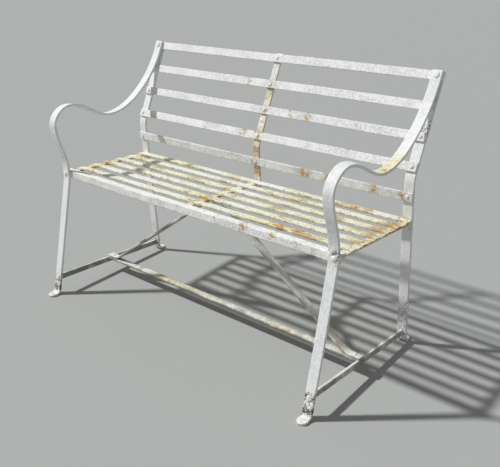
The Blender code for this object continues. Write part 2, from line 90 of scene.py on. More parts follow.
# %% [markdown]
# ## Floor
#
# A white bench needs a floor that is pale but darker than its paint, or its outline is lost. One large plane
# is enough. It is matt, so it takes the shadows of the slats and shows no mirror image of the bars.

# %% Floor
FLOOR_SIDE = 60.0
FLOOR_COLOUR = (0.42, 0.43, 0.42, 1.0)
FLOOR_ROUGHNESS = 0.9
FLOOR_SHINE = 0.1

half = FLOOR_SIDE / 2
floor_mesh = bpy.data.meshes.new("floor")
floor_corners = [(-half, -half, 0.0), (half, -half, 0.0), (half, half, 0.0), (-half, half, 0.0)]
floor_mesh.from_pydata(floor_corners, [], [(0, 1, 2, 3)])
floor = bpy.data.objects.new("floor", floor_mesh)
bpy.context.scene.collection.objects.link(floor)
floor_paint = bpy.data.materials.new("pale_floor")
floor_paint.use_nodes = True
floor_shader = floor_paint.node_tree.nodes["Principled BSDF"]
floor_shader.inputs["Base Color"].default_value = FLOOR_COLOUR
floor_shader.inputs["Roughness"].default_value = FLOOR_ROUGHNESS
floor_shader.inputs["Specular IOR Level"].default_value = FLOOR_SHINE
floor_mesh.materials.append(floor_paint)
print("floor of", FLOOR_SIDE, "m")

# %% [markdown]
# ## Light
#
# One lamp stands high on the left, so the tops of the bars are bright, the fronts are half lit and the right
# sides lie in shade. Area lamps would fall off along the bench. A sun lamp lights all of it evenly, and its
# wide angle softens the shadows. The world adds the light of an open sky. Both stay low enough for white
# paint to keep its lumps and not burn out.

# %% Light
KEY_TRAVEL = Vector((0.80, 0.42, -1.0))
KEY_STRENGTH = 3.18
KEY_ANGLE = math.radians(3.0)
SKY_COLOUR = (0.97, 0.985, 1.0, 1.0)
SKY_STRENGTH = 0.265

key = bpy.data.lights.new("key", "SUN")
key.energy = KEY_STRENGTH
key.angle = KEY_ANGLE
key_lamp = bpy.data.objects.new("key", key)
bpy.context.scene.collection.objects.link(key_lamp)
key_lamp.rotation_euler = KEY_TRAVEL.to_track_quat("-Z", "Y").to_euler()

sky = bpy.data.worlds.new("open_sky")
sky.use_nodes = True
sky_shader = sky.node_tree.nodes["Background"]
sky_shader.inputs["Color"].default_value = SKY_COLOUR
sky_shader.inputs["Strength"].default_value = SKY_STRENGTH
bpy.context.scene.world = sky
bpy.context.scene.view_settings.view_transform = "Standard"
lamp_slope = KEY_TRAVEL.angle(Vector((0.0, 0.0, -1.0)))
print("key lamp at", round(math.degrees(lamp_slope)), "degrees from straight down")

# %% [markdown]
# ## Backdrop
#
# Beyond the floor's edge a level camera would see the dim sky as a dark band. It sees a second background in
# the floor's colour instead, and so do mirrored and transmitted rays, while the sky still lights the bench.
# A wall behind the bench would give the same picture, but it would also throw light back on the bars.

# %% Backdrop
sky_nodes = sky.node_tree.nodes
sky_links = sky.node_tree.links
backdrop = sky_nodes.new("ShaderNodeBackground")
backdrop.inputs["Color"].default_value = FLOOR_COLOUR
ray = sky_nodes.new("ShaderNodeLightPath").outputs
seen = sky_nodes.new("ShaderNodeMath")
mirrored = sky_nodes.new("ShaderNodeMath")
choice = sky_nodes.new("ShaderNodeMixShader")
sky_links.new(ray["Is Glossy Ray"], mirrored.inputs[0])
sky_links.new(ray["Is Transmission Ray"], mirrored.inputs[1])
sky_links.new(ray["Is Camera Ray"], seen.inputs[0])
sky_links.new(mirrored.outputs[0], seen.inputs[1])
sky_links.new(seen.outputs[0], choice.inputs[0])
sky_links.new(sky_shader.outputs[0], choice.inputs[1])
sky_links.new(backdrop.outputs[0], choice.inputs[2])
sky_links.new(choice.outputs[0], sky_nodes["World Output"].inputs["Surface"])
print("backdrop", FLOOR_COLOUR[:3])

# %% [markdown]
# ## Measuring points
#
# The worn bars are fitted to the solids, so the solids have to be measured. How far points reach along an
# axis is all that most bars need: the two ends of that span give a length, and halfway between them lies the
# centre line. Blender also tells the dimensions of an object, but not along the axes of a tilted seat.

# %% Measuring points
RIM_DEPTH = 0.0005
X_AXIS = Vector((1.0, 0.0, 0.0))


def span(points, axis):
    """The lowest and the highest value of points along an axis."""
    values = [point.dot(axis) for point in points]
    return min(values), max(values)


def middle(points, axis):
    """Halfway between the lowest and the highest value along an axis."""
    return sum(span(points, axis)) / 2


def width_of(points, axis):
    """The distance between the lowest and the highest value along an axis."""
    low, high = span(points, axis)
    return high - low


def mean(points):
    """The average of points."""
    return sum(points, Vector()) / len(points)


def rim_of(points, axis):
    """The points close to either side of a bar along an axis."""
    low, high = span(points, axis)
    return [point for point in points if min(point.dot(axis) - low, high - point.dot(axis)) < RIM_DEPTH]


# %% [markdown]
# ## Reading a solid
#
# Each bar could be modelled again from a list of sizes, but then it might leave its place. Its sizes are
# read from the solid instead. The corners give the length along any axis, and the largest faces say which
# way a bar lies. The slats tell how far the seat is tilted.

# %% Reading a solid
CORNER_DIGITS = 5
WAY_DIGITS = 2


def corners_of(node):
    """The different corners of a solid."""
    found = {}
    for vertex in frame["nodes"][node].data.vertices:
        found[tuple(round(value, CORNER_DIGITS) for value in vertex.co)] = vertex.co.copy()
    return list(found.values())


def broad_side(node):
    """The upward way that a bar's largest faces look."""
    areas = {}
    for face in frame["nodes"][node].data.polygons:
        normal = face.normal if face.normal.z > 0 else -face.normal
        way = tuple(round(value, WAY_DIGITS) for value in normal)
        area = areas.get(way, (0.0, None))[0]
        areas[way] = (area + face.area, normal.copy())
    return max(areas.values(), key=lambda entry: entry[0])[1].normalized()


seat_up = broad_side("seat_slat_1")
seat_back = seat_up.cross(X_AXIS)
print("the seat's backward way", [round(value, 3) for value in seat_back])

# %% [markdown]
# ## The line of a bent bar
#
# Arms, posts and braces are bent over the anvil. On such a solid every cross-section has two corners on the
# bar's side face, as far apart as the bar is thick, less its cut edges. Halfway between those two corners
# runs the centre line. The points are then put in order, each followed by its nearest neighbour.

# %% Line of a bent bar
STRAP_THICK = 0.008
BAR_THICK = 0.006
LOW_THICK = 0.008
EDGE_CUT = 0.0008
SAME_PLACE = 0.00002
FAR_AWAY = 2.0
FAR_FRONT = Vector((0.0, -FAR_AWAY, 0.0))
FAR_BACK = Vector((0.0, FAR_AWAY, 0.0))
FAR_BELOW = Vector((0.0, 0.0, -FAR_AWAY))


def section_middles(node, across, thick):
    """The middle and the direction of every cross-section of a bent bar, in no order."""
    points = corners_of(node)
    rim_level = span(points, across)[1]
    rim = [point for point in points if rim_level - point.dot(across) < SAME_PLACE]
    gap = thick - 2 * EDGE_CUT
    inward = across * (middle(points, across) - rim_level)
    found = []
    for index, one in enumerate(rim):
        for other in rim[index + 1:]:
            if abs((one - other).length - gap) < SAME_PLACE:
                found.append(((one + other) / 2 + inward, across.cross(one - other).normalized()))
    return found


def bent_line(node, across, thick, start):
    """Centre points and directions of a bent bar, beginning near a given point."""
    loose = section_middles(node, across, thick)
    place = start
    line = []
    while loose:
        nearest = min(loose, key=lambda section: (section[0] - place).length)
        loose.remove(nearest)
        line.append(nearest)
        place = nearest[0]
    flowing = []
    for index, (centre, direction) in enumerate(line):
        before = line[max(index - 1, 0)][0]
        after = line[min(index + 1, len(line) - 1)][0]
        flowing.append((centre, direction if direction.dot(after - before) > 0 else -direction))
    return flowing


arm_line = bent_line("front_leg_arm_right", X_AXIS, STRAP_THICK, FAR_FRONT)
print("the right arm has", len(arm_line), "stations")

# %% [markdown]
# ## Soft outlines
#
# A forged bar has no sharp edge. The outline has an arc at each corner and one more point beside it, so that
# smooth shading stays flat on the broad face and rolls over at the edge. A bevel modifier could round the
# edges too; with points of its own along the face, the outline also leaves room for lumps. Each point notes
# its share in the edge.

# %% Outlines
OUTLINE_STEP = 0.0042
EDGE_RADIUS = 0.0013
EDGE_SUPPORT = 0.0016
EDGE_SHOULDER = 0.7


def soft_outline(corners):
    """An outline through (across, through) corners with small arcs, as (place, edge share) pairs."""
    outline = []
    for index, corner in enumerate(corners):
        following = corners[(index + 1) % len(corners)]
        before = (corners[index - 1] - corner).normalized()
        after = (following - corner).normalized()
        start = corner + before * EDGE_RADIUS
        end = corner + after * EDGE_RADIUS
        arc_middle = start * 0.25 + corner * 0.5 + end * 0.25
        outline += [(start, EDGE_SHOULDER), (arc_middle, 1.0), (end, EDGE_SHOULDER)]
        free = (following - corner).length - 2 * EDGE_RADIUS - 2 * EDGE_SUPPORT
        if free > EDGE_SUPPORT:
            steps = max(1, round(free / OUTLINE_STEP))
            for step in range(steps + 1):
                outline.append((end + after * (EDGE_SUPPORT + free * step / steps), 0.0))
    return outline


def flat_section(width, thick):
    """The outline of a flat bar."""
    w = width / 2
    t = thick / 2
    return soft_outline([Vector((w, -t)), Vector((w, t)), Vector((-w, t)), Vector((-w, -t))])


slat_width = width_of(corners_of("seat_slat_1"), seat_back)
print("the outline of a slat has", len(flat_section(slat_width, BAR_THICK)), "points")

# %% [markdown]
# ## Rings along a bar
#
# A bar is a row of rings, a few millimetres apart. Between two stations of the line the rings follow a cubic
# curve, so the arms are round where the solid has short straight steps. A curve object with a bevel profile
# would sweep the bar too, but it has no rings of its own to lean, thin or dent.

# %% Rings
RING_STEP = 0.004


def rings_along(line, across):
    """Stations (centre, across, through) every few millimetres along a line."""
    stations = []
    for (start, leaving), (end, arriving) in zip(line, line[1:]):
        chord = (end - start).length
        first = start + leaving * chord / 3
        second = end - arriving * chord / 3
        steps = max(1, math.ceil(chord / RING_STEP))
        for step in range(steps):
            t = step / steps
            r = 1 - t
            centre = start * r ** 3 + first * 3 * r * r * t + second * 3 * r * t * t + end * t ** 3
            way = (first - start) * r * r + (second - first) * 2 * r * t + (end - second) * t * t
            stations.append((centre, across, way.normalized().cross(across)))
    end, arriving = line[-1]
    stations.append((end, across, arriving.cross(across)))
    return stations


print("the right arm has", len(rings_along(arm_line, X_AXIS)), "rings")

# %% [markdown]
# ## Ends of a bar
#
# A bar's cut end is hammered over, and a foot is drawn to a half round tip. Both are made by smaller rings:
# a quarter round of a few millimetres at a cut end, and an arc over the whole width at a foot. Subdividing
# a square end would round it too, but not by a chosen amount.

# %% Ends
NOSE_LENGTH = 0.003
NOSE_RINGS = 4
NOSE_WIDTH = 0.93
NOSE_THICK = 0.58
TIP_RINGS = 6
TIP_ANGLE = math.radians(78.0)


def ease_end(stations):
    """The same stations with the far end rounded off by smaller rings."""
    centre, across, through = stations[-1]
    way = across.cross(through).normalized()
    kept = [station for station in stations if (station[0] - centre).length > NOSE_LENGTH + EDGE_RADIUS]
    for step in range(NOSE_RINGS + 1):
        angle = math.pi / 2 * step / NOSE_RINGS
        back = way * NOSE_LENGTH * (1 - math.sin(angle))
        wide = NOSE_WIDTH + (1 - NOSE_WIDTH) * math.cos(angle)
        thick = NOSE_THICK + (1 - NOSE_THICK) * math.cos(angle)
        kept.append((centre - back, across * wide, through * thick))
    return kept


def turned_round(stations):
    """The same stations in the other order."""
    return [(centre, across, -through) for centre, across, through in reversed(stations)]


def ease_ends(stations):
    """The same stations with both ends rounded off."""
    return turned_round(ease_end(turned_round(ease_end(stations))))


def round_tip(stations, width):
    """Stations with a half round tip put before the first one."""
    centre, across, through = stations[0]
    outward = through.cross(across).normalized()
    tip = []
    for step in range(TIP_RINGS):
        angle = TIP_ANGLE * (1 - step / TIP_RINGS)
        reach = outward * width / 2 * math.sin(angle)
        tip.append((centre + reach, across * math.cos(angle), through * math.sqrt(math.cos(angle))))
    return tip + stations


print("a cut end has", NOSE_RINGS + 1, "rings and a foot's tip", TIP_RINGS)

# %% [markdown]
# ## Closed bars
#
# Rings are joined by a band of faces, and the first and the last ring are closed, so every bar is a solid
# shape. Besides its points, a bar keeps the outward way at each of them, for the lumps, and how close the
# point is to an edge, where paint wears first.

# %% Closed bars
def lofted(stations, outline):
    """Points, outward ways, edge shares and faces of a closed bar."""
    count = len(outline)
    ways = []
    for index in range(count):
        tangent = outline[(index + 1) % count][0] - outline[index - 1][0]
        ways.append(Vector((tangent.y, -tangent.x)).normalized())
    points = []
    normals = []
    edges = []
    for centre, across, through in stations:
        for (place, edge), way in zip(outline, ways):
            points.append(centre + across * place.x + through * place.y)
            normals.append((across.normalized() * way.x + through.normalized() * way.y).normalized())
            edges.append(edge)
    return points, normals, edges, band_faces(len(points), count)


def band_faces(total, count):
    """Faces between rings of the same count, and over the first and the last ring."""
    faces = []
    for low in range(0, total - count, count):
        for index in range(count):
            after = (index + 1) % count
            faces.append((low + index, low + after, low + count + after, low + count + index))
    faces.append(tuple(range(count))[::-1])
    faces.append(tuple(range(total - count, total)))
    return faces


slat_ring = len(flat_section(slat_width, BAR_THICK))
print("two rings of a slat make", len(band_faces(2 * slat_ring, slat_ring)), "faces")

# %% [markdown]
# ## Bent bars
#
# Legs, arms, posts, braces and cross bars follow their bent lines. The arms were not bent quite true: they
# lean outward between the crest and the dip. Their rings are turned there about the line of the bar, by an
# angle that swells and fades along it. A modifier could twist the arm too, but from end to end and not in
# this stretch alone.

# %% Bent bars
ARM_LEAN = math.radians(10.0)
LEAN_Y = -0.06
LEAN_REACH = 0.075


def leaned(stations):
    """The stations of an arm, turned a little outward between its crest and its dip."""
    turned = []
    for centre, across, through in stations:
        share = math.exp(-((centre.y - LEAN_Y) / LEAN_REACH) ** 2)
        angle = math.copysign(ARM_LEAN * share, centre.x)
        turn = Matrix.Rotation(angle, 3, across.cross(through))
        turned.append((centre, turn @ across, turn @ through))
    return turned


def bent_shell(node, across, thick, start, with_tip):
    """A bent bar, with a rounded tip at its start or with two plain ends."""
    width = width_of(corners_of(node), across)
    stations = rings_along(bent_line(node, across, thick, start), across)
    if node.startswith("front_leg_arm"):
        stations = leaned(stations)
    if with_tip:
        stations = round_tip(ease_end(stations), width)
    else:
        stations = ease_ends(stations)
    return lofted(stations, flat_section(width, thick))


right_arm = bent_shell("front_leg_arm_right", X_AXIS, STRAP_THICK, FAR_FRONT, True)
print("the right leg and arm have", len(right_arm[0]), "points")

# %% [markdown]
# ## Straight bars
#
# Rails, slats and the stretcher are straight, so two stations give their line. The slats' ends are drawn out
# thin on the cross bars. There the rings shrink in thickness and sink by half of it, so the underside stays
# level. Scaling the ends by hand would work for one slat; a rule serves all six.

# %% Straight bars
SLAT_TAPER = 0.026
SLAT_THIN = 0.42


def drawn_thin(stations, thick):
    """The stations of a slat whose ends are drawn out thin, with a level underside."""
    first = stations[0][0]
    last = stations[-1][0]
    thinned = []
    for centre, across, through in stations:
        reach = min(1.0, min((centre - first).length, (centre - last).length) / SLAT_TAPER)
        share = SLAT_THIN + (1 - SLAT_THIN) * reach * reach * (3 - 2 * reach)
        thinned.append((centre - through * (1 - share) * thick / 2, across, through * share))
    return thinned


def straight_shell(node):
    """A straight flat bar along X."""
    points = corners_of(node)
    upward = broad_side(node)
    across = upward.cross(X_AXIS)
    centre = across * middle(points, across) + upward * middle(points, upward)
    low, high = span(rim_of(points, across), X_AXIS)
    line = [(centre + X_AXIS * low, X_AXIS), (centre + X_AXIS * high, X_AXIS)]
    thick = width_of(points, upward)
    stations = rings_along(line, across)
    if node.startswith("seat_slat"):
        stations = drawn_thin(stations, thick)
    return lofted(ease_ends(stations), flat_section(width_of(points, across), thick))


print("a slat has", len(straight_shell("seat_slat_1")[0]), "points")

# %% [markdown]
# ## Front rail
#
# The seat's front rail is an angle bar: one leg of it faces forward, and the other carries the slats' level
# to the front. Two flat bars at a right angle would leave a seam, so its outline has six corners and is
# swept like the others.

# %% Front rail
def angle_section(depth, height, wall):
    """The outline of an angle bar, from its outer corner down and backward."""
    front = [Vector((0.0, 0.0)), Vector((0.0, -height)), Vector((wall, -height))]
    shelf = [Vector((wall, -wall)), Vector((depth, -wall)), Vector((depth, 0.0))]
    return soft_outline(front + shelf)


def angle_shell(node):
    """The angle bar along the seat's front edge."""
    points = corners_of(node)
    corner = seat_back * span(points, seat_back)[0] + seat_up * span(points, seat_up)[1]
    low, high = span(points, X_AXIS)
    line = [(corner + X_AXIS * low, X_AXIS), (corner + X_AXIS * high, X_AXIS)]
    section = angle_section(width_of(points, seat_back), width_of(points, seat_up), BAR_THICK)
    return lofted(rings_along(line, seat_back), section)


print("the front rail has", len(angle_shell("seat_front_rail")[0]), "points")

# %% [markdown]
# ## Side rails
#
# The low side rails stand on edge, and their ends are cut to the slopes of the leg and the post. The rings
# lean gradually from one slope to the other. Cutting a square bar with two planes would do the same, but it
# would leave long thin faces at the cuts.

# %% Side rails
def sloping_end(rim, side):
    """The centre and the slope of a side rail's front end (side -1) or back end (side 1)."""
    halfway = middle(rim, seat_back)
    level = middle(rim, seat_up)
    end = [point for point in rim if (point.dot(seat_back) - halfway) * side > 0]
    top = mean([point for point in end if point.dot(seat_up) > level])
    bottom = mean([point for point in end if point.dot(seat_up) < level])
    return (top + bottom) / 2, (top - bottom) / (top - bottom).dot(seat_up)


def side_rail_shell(node):
    """A bar on edge whose ends follow the slopes of the leg and the post."""
    points = corners_of(node)
    rim = rim_of(points, seat_up)
    front, front_slope = sloping_end(rim, -1)
    back, back_slope = sloping_end(rim, 1)
    steps = math.ceil((back - front).length / RING_STEP)
    stations = []
    for step in range(steps + 1):
        share = step / steps
        stations.append((front.lerp(back, share), front_slope.lerp(back_slope, share), X_AXIS))
    return lofted(stations, flat_section(width_of(points, seat_up), LOW_THICK))


print("a side rail has", len(side_rail_shell("side_rail_right")[0]), "points")

# %% [markdown]
# ## Turned heads
#
# The bars are held by hot rivets and by tenons whose ends are hammered over. Each head is a low dome. It
# could be half of a sphere, squashed, but a profile that is turned round an axis also gives the shank below
# the head, in one closed shape.

# %% Turned heads
HEAD_SIDES = 20
HEAD_STEPS = 5
HEAD_EDGE = 0.3
CROWN_ANGLE = math.radians(82.0)


def dome(radius, height):
    """The (rise, radius) profile of a low dome from its rim to its crown."""
    angles = [CROWN_ANGLE * step / HEAD_STEPS for step in range(HEAD_STEPS + 1)]
    return [(height * math.sin(angle), radius * math.cos(angle)) for angle in angles]


def turned_shell(centre, axis, profile):
    """Points, outward ways, edge shares and faces of a turned shape from (along, radius) pairs."""
    side = axis.orthogonal().normalized()
    other = axis.cross(side)
    points = []
    normals = []
    for index, (along, radius) in enumerate(profile):
        before = profile[max(index - 1, 0)]
        after = profile[min(index + 1, len(profile) - 1)]
        for step in range(HEAD_SIDES):
            angle = 2 * math.pi * step / HEAD_SIDES
            outward = side * math.cos(angle) + other * math.sin(angle)
            points.append(centre + axis * along + outward * radius)
            slope = outward * (after[0] - before[0]) - axis * (after[1] - before[1])
            normals.append(slope.normalized())
    return points, normals, [HEAD_EDGE] * len(points), band_faces(len(points), HEAD_SIDES)


print("a dome's profile has", len(dome(1.0, 1.0)), "points")

# %% [markdown]
# ## Hammered tenons
#
# Cross bars and side rails end in round tenons, which pass through the leg or the post and are hammered over
# in front of it. The solids have these domes in three steps. A head's place, radius and height are read from
# the solid, and the dome is turned again with more sides and a rounder crown.

# %% Hammered tenons
HEAD_SCAN = 0.0042
CROWN_SCAN = HEAD_SCAN / 4
SHANK_RADIUS = 0.0035


def tenon_head(node, axis):
    """The hammered end of a tenon at the far end of a solid along an axis."""
    points = corners_of(node)
    crown_level = span(points, axis)[1]
    near = [point for point in points if crown_level - point.dot(axis) < HEAD_SCAN]
    crown = [point for point in near if crown_level - point.dot(axis) < CROWN_SCAN]
    height = width_of(near, axis)
    centre = mean(crown) - axis * height
    radius = max((point - centre - axis * (point - centre).dot(axis)).length for point in near)
    return turned_shell(centre, axis, [(-LOW_THICK / 2, SHANK_RADIUS)] + dome(radius, height))


print("a tenon head has", len(tenon_head("seat_cross_bar_right", -seat_back)[0]), "points")

# %% [markdown]
# ## Rivets
#
# A rivet has a head at both ends, or one head and a flush end. The way in which its points reach farthest is
# its axis: a first guess is pulled towards it, round after round. The largest radius at each level along
# that axis shows where the heads begin. The axes could be listed by hand, but then a rivet might leave its
# place when a size of the bench is changed.

# %% Rivets
FIRST_GUESS = Vector((0.3, 0.5, 0.8))
GUESS_ROUNDS = 60
LEVEL_DIGITS = 4
HEAD_SHARE = 0.98


def longest_way(points):
    """The way in which points reach farthest from their middle."""
    centre = mean(points)
    way = FIRST_GUESS
    for _ in range(GUESS_ROUNDS):
        pulls = ((point - centre) * (point - centre).dot(way) for point in points)
        way = sum(pulls, Vector()).normalized()
    return way


def rivet_levels(points, centre, axis):
    """The largest radius of a rivet at each level along its axis."""
    radii = {}
    for point in points:
        along = (point - centre).dot(axis)
        radius = (point - centre - axis * along).length
        level = round(along, LEVEL_DIGITS)
        radii[level] = max(radii.get(level, 0.0), radius)
    return radii


def rivet_shell(node):
    """A rivet with a domed head at each end that has one."""
    points = corners_of(node)
    axis = longest_way(points)
    centre = mean(points)
    radii = rivet_levels(points, centre, axis)
    head_radius = max(radii.values())
    heads = [level for level in radii if radii[level] > HEAD_SHARE * head_radius]
    low, high = min(radii), max(radii)
    profile = []
    if min(heads) < 0:
        bottom = dome(head_radius, min(heads) - low)
        profile += [(min(heads) - rise, radius) for rise, radius in reversed(bottom)]
        profile.append((min(heads), SHANK_RADIUS))
    else:
        profile.append((low, SHANK_RADIUS))
    if max(heads) > 0:
        profile.append((max(heads), SHANK_RADIUS))
        profile += [(max(heads) + rise, radius) for rise, radius in dome(head_radius, high - max(heads))]
    else:
        profile.append((high, SHANK_RADIUS))
    return turned_shell(centre, axis, profile)


print("a rivet has", len(rivet_shell("rivet_rail_1_left")[0]), "points")

# %% [markdown]
# ## Which shape each piece takes
#
# The straps of legs and posts start with a rounded foot and follow their bends. Rails, slats and the
# stretcher are straight. Cross bars and side rails end in hammered tenons, which are separate closed shells
# in the same mesh. A piece could also be one subdivided cage, but rings keep the edges equally soft
# everywhere.

# %% Shapes
def shells_of(node):
    """The closed shells of a piece; the heads of its tenons come after the bar."""
    side = node.split("_")[-1]
    if node.startswith("rivet"):
        return [rivet_shell(node)]
    if node.startswith("front_leg_arm"):
        return [bent_shell(node, X_AXIS, STRAP_THICK, FAR_FRONT, True)]
    if node.startswith("back_post"):
        return [bent_shell(node, X_AXIS, STRAP_THICK, FAR_BACK, True)]
    if node == "centre_back_strap":
        return [bent_shell(node, X_AXIS, BAR_THICK, FAR_BELOW, False)]
    if node.startswith("seat_cross_bar"):
        shells = [bent_shell(node, X_AXIS, BAR_THICK, FAR_FRONT, False)]
        if side != "centre":
            shells.append(tenon_head(node, -seat_back))
        return shells
    if node.startswith("brace"):
        start = X_AXIS * (FAR_AWAY if side == "right" else -FAR_AWAY)
        return [bent_shell(node, seat_back, LOW_THICK, start, False)]
    if node.startswith("side_rail"):
        leg_face = broad_side("front_leg_arm_" + side)
        post_face = broad_side("back_post_" + side)
        return [side_rail_shell(node), tenon_head(node, leg_face), tenon_head(node, post_face)]
    if node == "seat_front_rail":
        return [angle_shell(node)]
    return [straight_shell(node)]


for node in ("front_leg_arm_left", "back_post_left", "brace_right", "seat_cross_bar_left"):
    print(node, [len(shell[0]) for shell in shells_of(node)], "points")

# %% [markdown]
# ## Where rust sits
#
# Rust starts where water stays: at the joints, along the edges and in old chips. On the real bench it has
# favourite places, so each bar lists its spots by their place along the bar, their reach and their strength.
# Spots could be painted by hand in texture paint mode, but a list can be read and changed.

# %% Rust spots
RUST_SPOTS = {
    "back_rail_1": [(0.21, 0.012, 0.40), (0.53, 0.03, 0.22), (0.012, 0.012, 0.35)],
    "back_rail_2": [(-0.091, 0.008, 0.66), (0.0, 0.016, 0.50)],
    "back_rail_3": [(-0.004, 0.018, 0.52), (0.178, 0.013, 0.78), (0.108, 0.007, 0.66),
                    (-0.085, 0.008, 0.5)],
    "back_rail_4": [(0.004, 0.026, 0.80), (-0.058, 0.012, 0.64), (-0.235, 0.008, 0.48),
                    (0.36, 0.02, 0.36)],
    "back_rail_5": [(0.205, 0.018, 0.74), (0.284, 0.018, 0.66), (0.461, 0.022, 0.68),
                    (0.55, 0.014, 0.62), (0.0, 0.02, 0.45)],
    "centre_back_strap": [(0.567, 0.022, 0.66), (0.523, 0.02, 0.44), (0.451, 0.02, 0.55),
                          (0.642, 0.012, 0.40), (0.715, 0.012, 0.36)],
    "seat_slat_1": [(0.342, 0.04, 0.74), (0.401, 0.03, 0.80), (0.442, 0.022, 0.68),
                    (-0.5, 0.02, 0.34), (0.0, 0.03, 0.36)],
    "seat_slat_2": [(-0.001, 0.022, 0.62), (-0.089, 0.02, 0.42), (0.30, 0.04, 0.40),
                    (-0.54, 0.02, 0.40), (0.558, 0.012, 0.46)],
    "seat_slat_3": [(-0.56, 0.022, 0.56), (0.229, 0.03, 0.52), (0.05, 0.03, 0.38),
                    (0.5, 0.03, 0.46), (0.555, 0.016, 0.60)],
    "seat_slat_4": [(-0.357, 0.03, 0.52), (-0.173, 0.04, 0.46), (-0.016, 0.03, 0.46),
                    (0.4, 0.03, 0.44), (0.552, 0.02, 0.68)],
    "seat_slat_5": [(-0.501, 0.03, 0.48), (0.557, 0.025, 0.72), (0.1, 0.04, 0.38), (0.25, 0.03, 0.40)],
    "seat_slat_6": [(0.35, 0.025, 0.66), (0.401, 0.025, 0.68), (0.443, 0.02, 0.60),
                    (0.564, 0.02, 0.62), (-0.3, 0.03, 0.38)],
    "seat_front_rail": [(0.249, 0.010, 0.60), (0.149, 0.006, 0.55), (0.356, 0.007, 0.52)],
    "seat_cross_bar_right": [(0.112, 0.05, 0.46), (-0.018, 0.05, 0.34), (0.15, 0.03, 0.3)],
    "seat_cross_bar_left": [(-0.009, 0.03, 0.45), (-0.1, 0.03, 0.45)],
    "seat_cross_bar_centre": [(0.0, 0.08, 0.36)],
    "brace_right": [(0.495, 0.022, 0.66), (0.45, 0.03, 0.36)],
    "stretcher": [(-0.229, 0.012, 0.62), (-0.27, 0.03, 0.40), (0.30, 0.05, 0.25)],
    "front_leg_arm_right": [(1.045, 0.04, 0.95), (1.085, 0.035, 0.85)],
    "back_post_left": [(0.43, 0.012, 0.45)],
}
print(sum(len(spots) for spots in RUST_SPOTS.values()), "rust spots")

# %% [markdown]
# ## Where paint is chipped and rough
#
# Chips down to the iron sit low on the legs, where they are knocked, and at a few joints. Where the front
# legs pass the seat, the paint is thick and rough. These places are listed in the same way; for rough paint
# the strength is the extra height of its lumps, counted in usual heights.

# %% Chips and rough paint
CHIP_SPOTS = {
    "front_leg_arm_right": [(0.060, 0.024, 0.70), (0.026, 0.018, 0.92), (0.445, 0.024, 0.58),
                            (0.408, 0.012, 0.40)],
    "front_leg_arm_left": [(0.06, 0.03, 0.70), (0.028, 0.018, 0.84), (0.437, 0.016, 0.25)],
    "back_post_right": [(0.11, 0.08, 0.50), (0.04, 0.03, 0.58), (0.40, 0.03, 0.50),
                        (0.655, 0.035, 0.62)],
    "back_post_left": [(0.06, 0.08, 0.5), (0.44, 0.04, 0.3)],
    "seat_cross_bar_right": [(-0.182, 0.012, 0.24)],
    "side_rail_right": [(-0.285, 0.03, 0.30), (0.22, 0.03, 0.5)],
    "side_rail_left": [(-0.285, 0.03, 0.28), (0.22, 0.03, 0.4)],
}
LUMP_SPOTS = {
    "front_leg_arm_right": [(0.437, 0.022, 6.0)],
    "front_leg_arm_left": [(0.437, 0.018, 4.0)],
}
print(sum(len(spots) for spots in CHIP_SPOTS.values()), "chipped places")

# %% [markdown]
# ## Places along a bar
#
# A spot's place is a height on upright bars, a depth on bars that run from front to back, and a distance
# from the middle on the others. An arm counts by its depth, with 1 at the bench's middle, because it passes
# the same heights as its leg. Noise warps the place, so that a spot has a ragged border and doesn't end in a
# straight line across the bar.

# %% Places along a bar
UPRIGHT = ("front_leg", "back_post", "centre_back")
FRONT_TO_BACK = ("seat_cross", "side_rail")
ARM_CREST_Y = -0.136
ARM_MIDDLE = 1.0
SPOT_WARP = 0.014
SPOT_WARP_SCALE = 62.0


def along_bar(node, point):
    """The place of a point along its bar."""
    if node.startswith("front_leg") and point.y > ARM_CREST_Y:
        return ARM_MIDDLE + point.y
    if node.startswith(UPRIGHT):
        return point.z
    if node.startswith(FRONT_TO_BACK):
        return point.y
    return point.x


def spot_value(spots, node, point, widening):
    """The strongest spot of a bar at a point, with every reach widened."""
    here = along_bar(node, point) + SPOT_WARP * noise.noise(point * SPOT_WARP_SCALE)
    found = 0.0
    for where, reach, strength in spots.get(node, ()):
        found = max(found, strength * math.exp(-((here - where) / (reach * widening)) ** 2))
    return found


print("an arm's place at the bench's middle is", along_bar("front_leg_arm_right", Vector()))
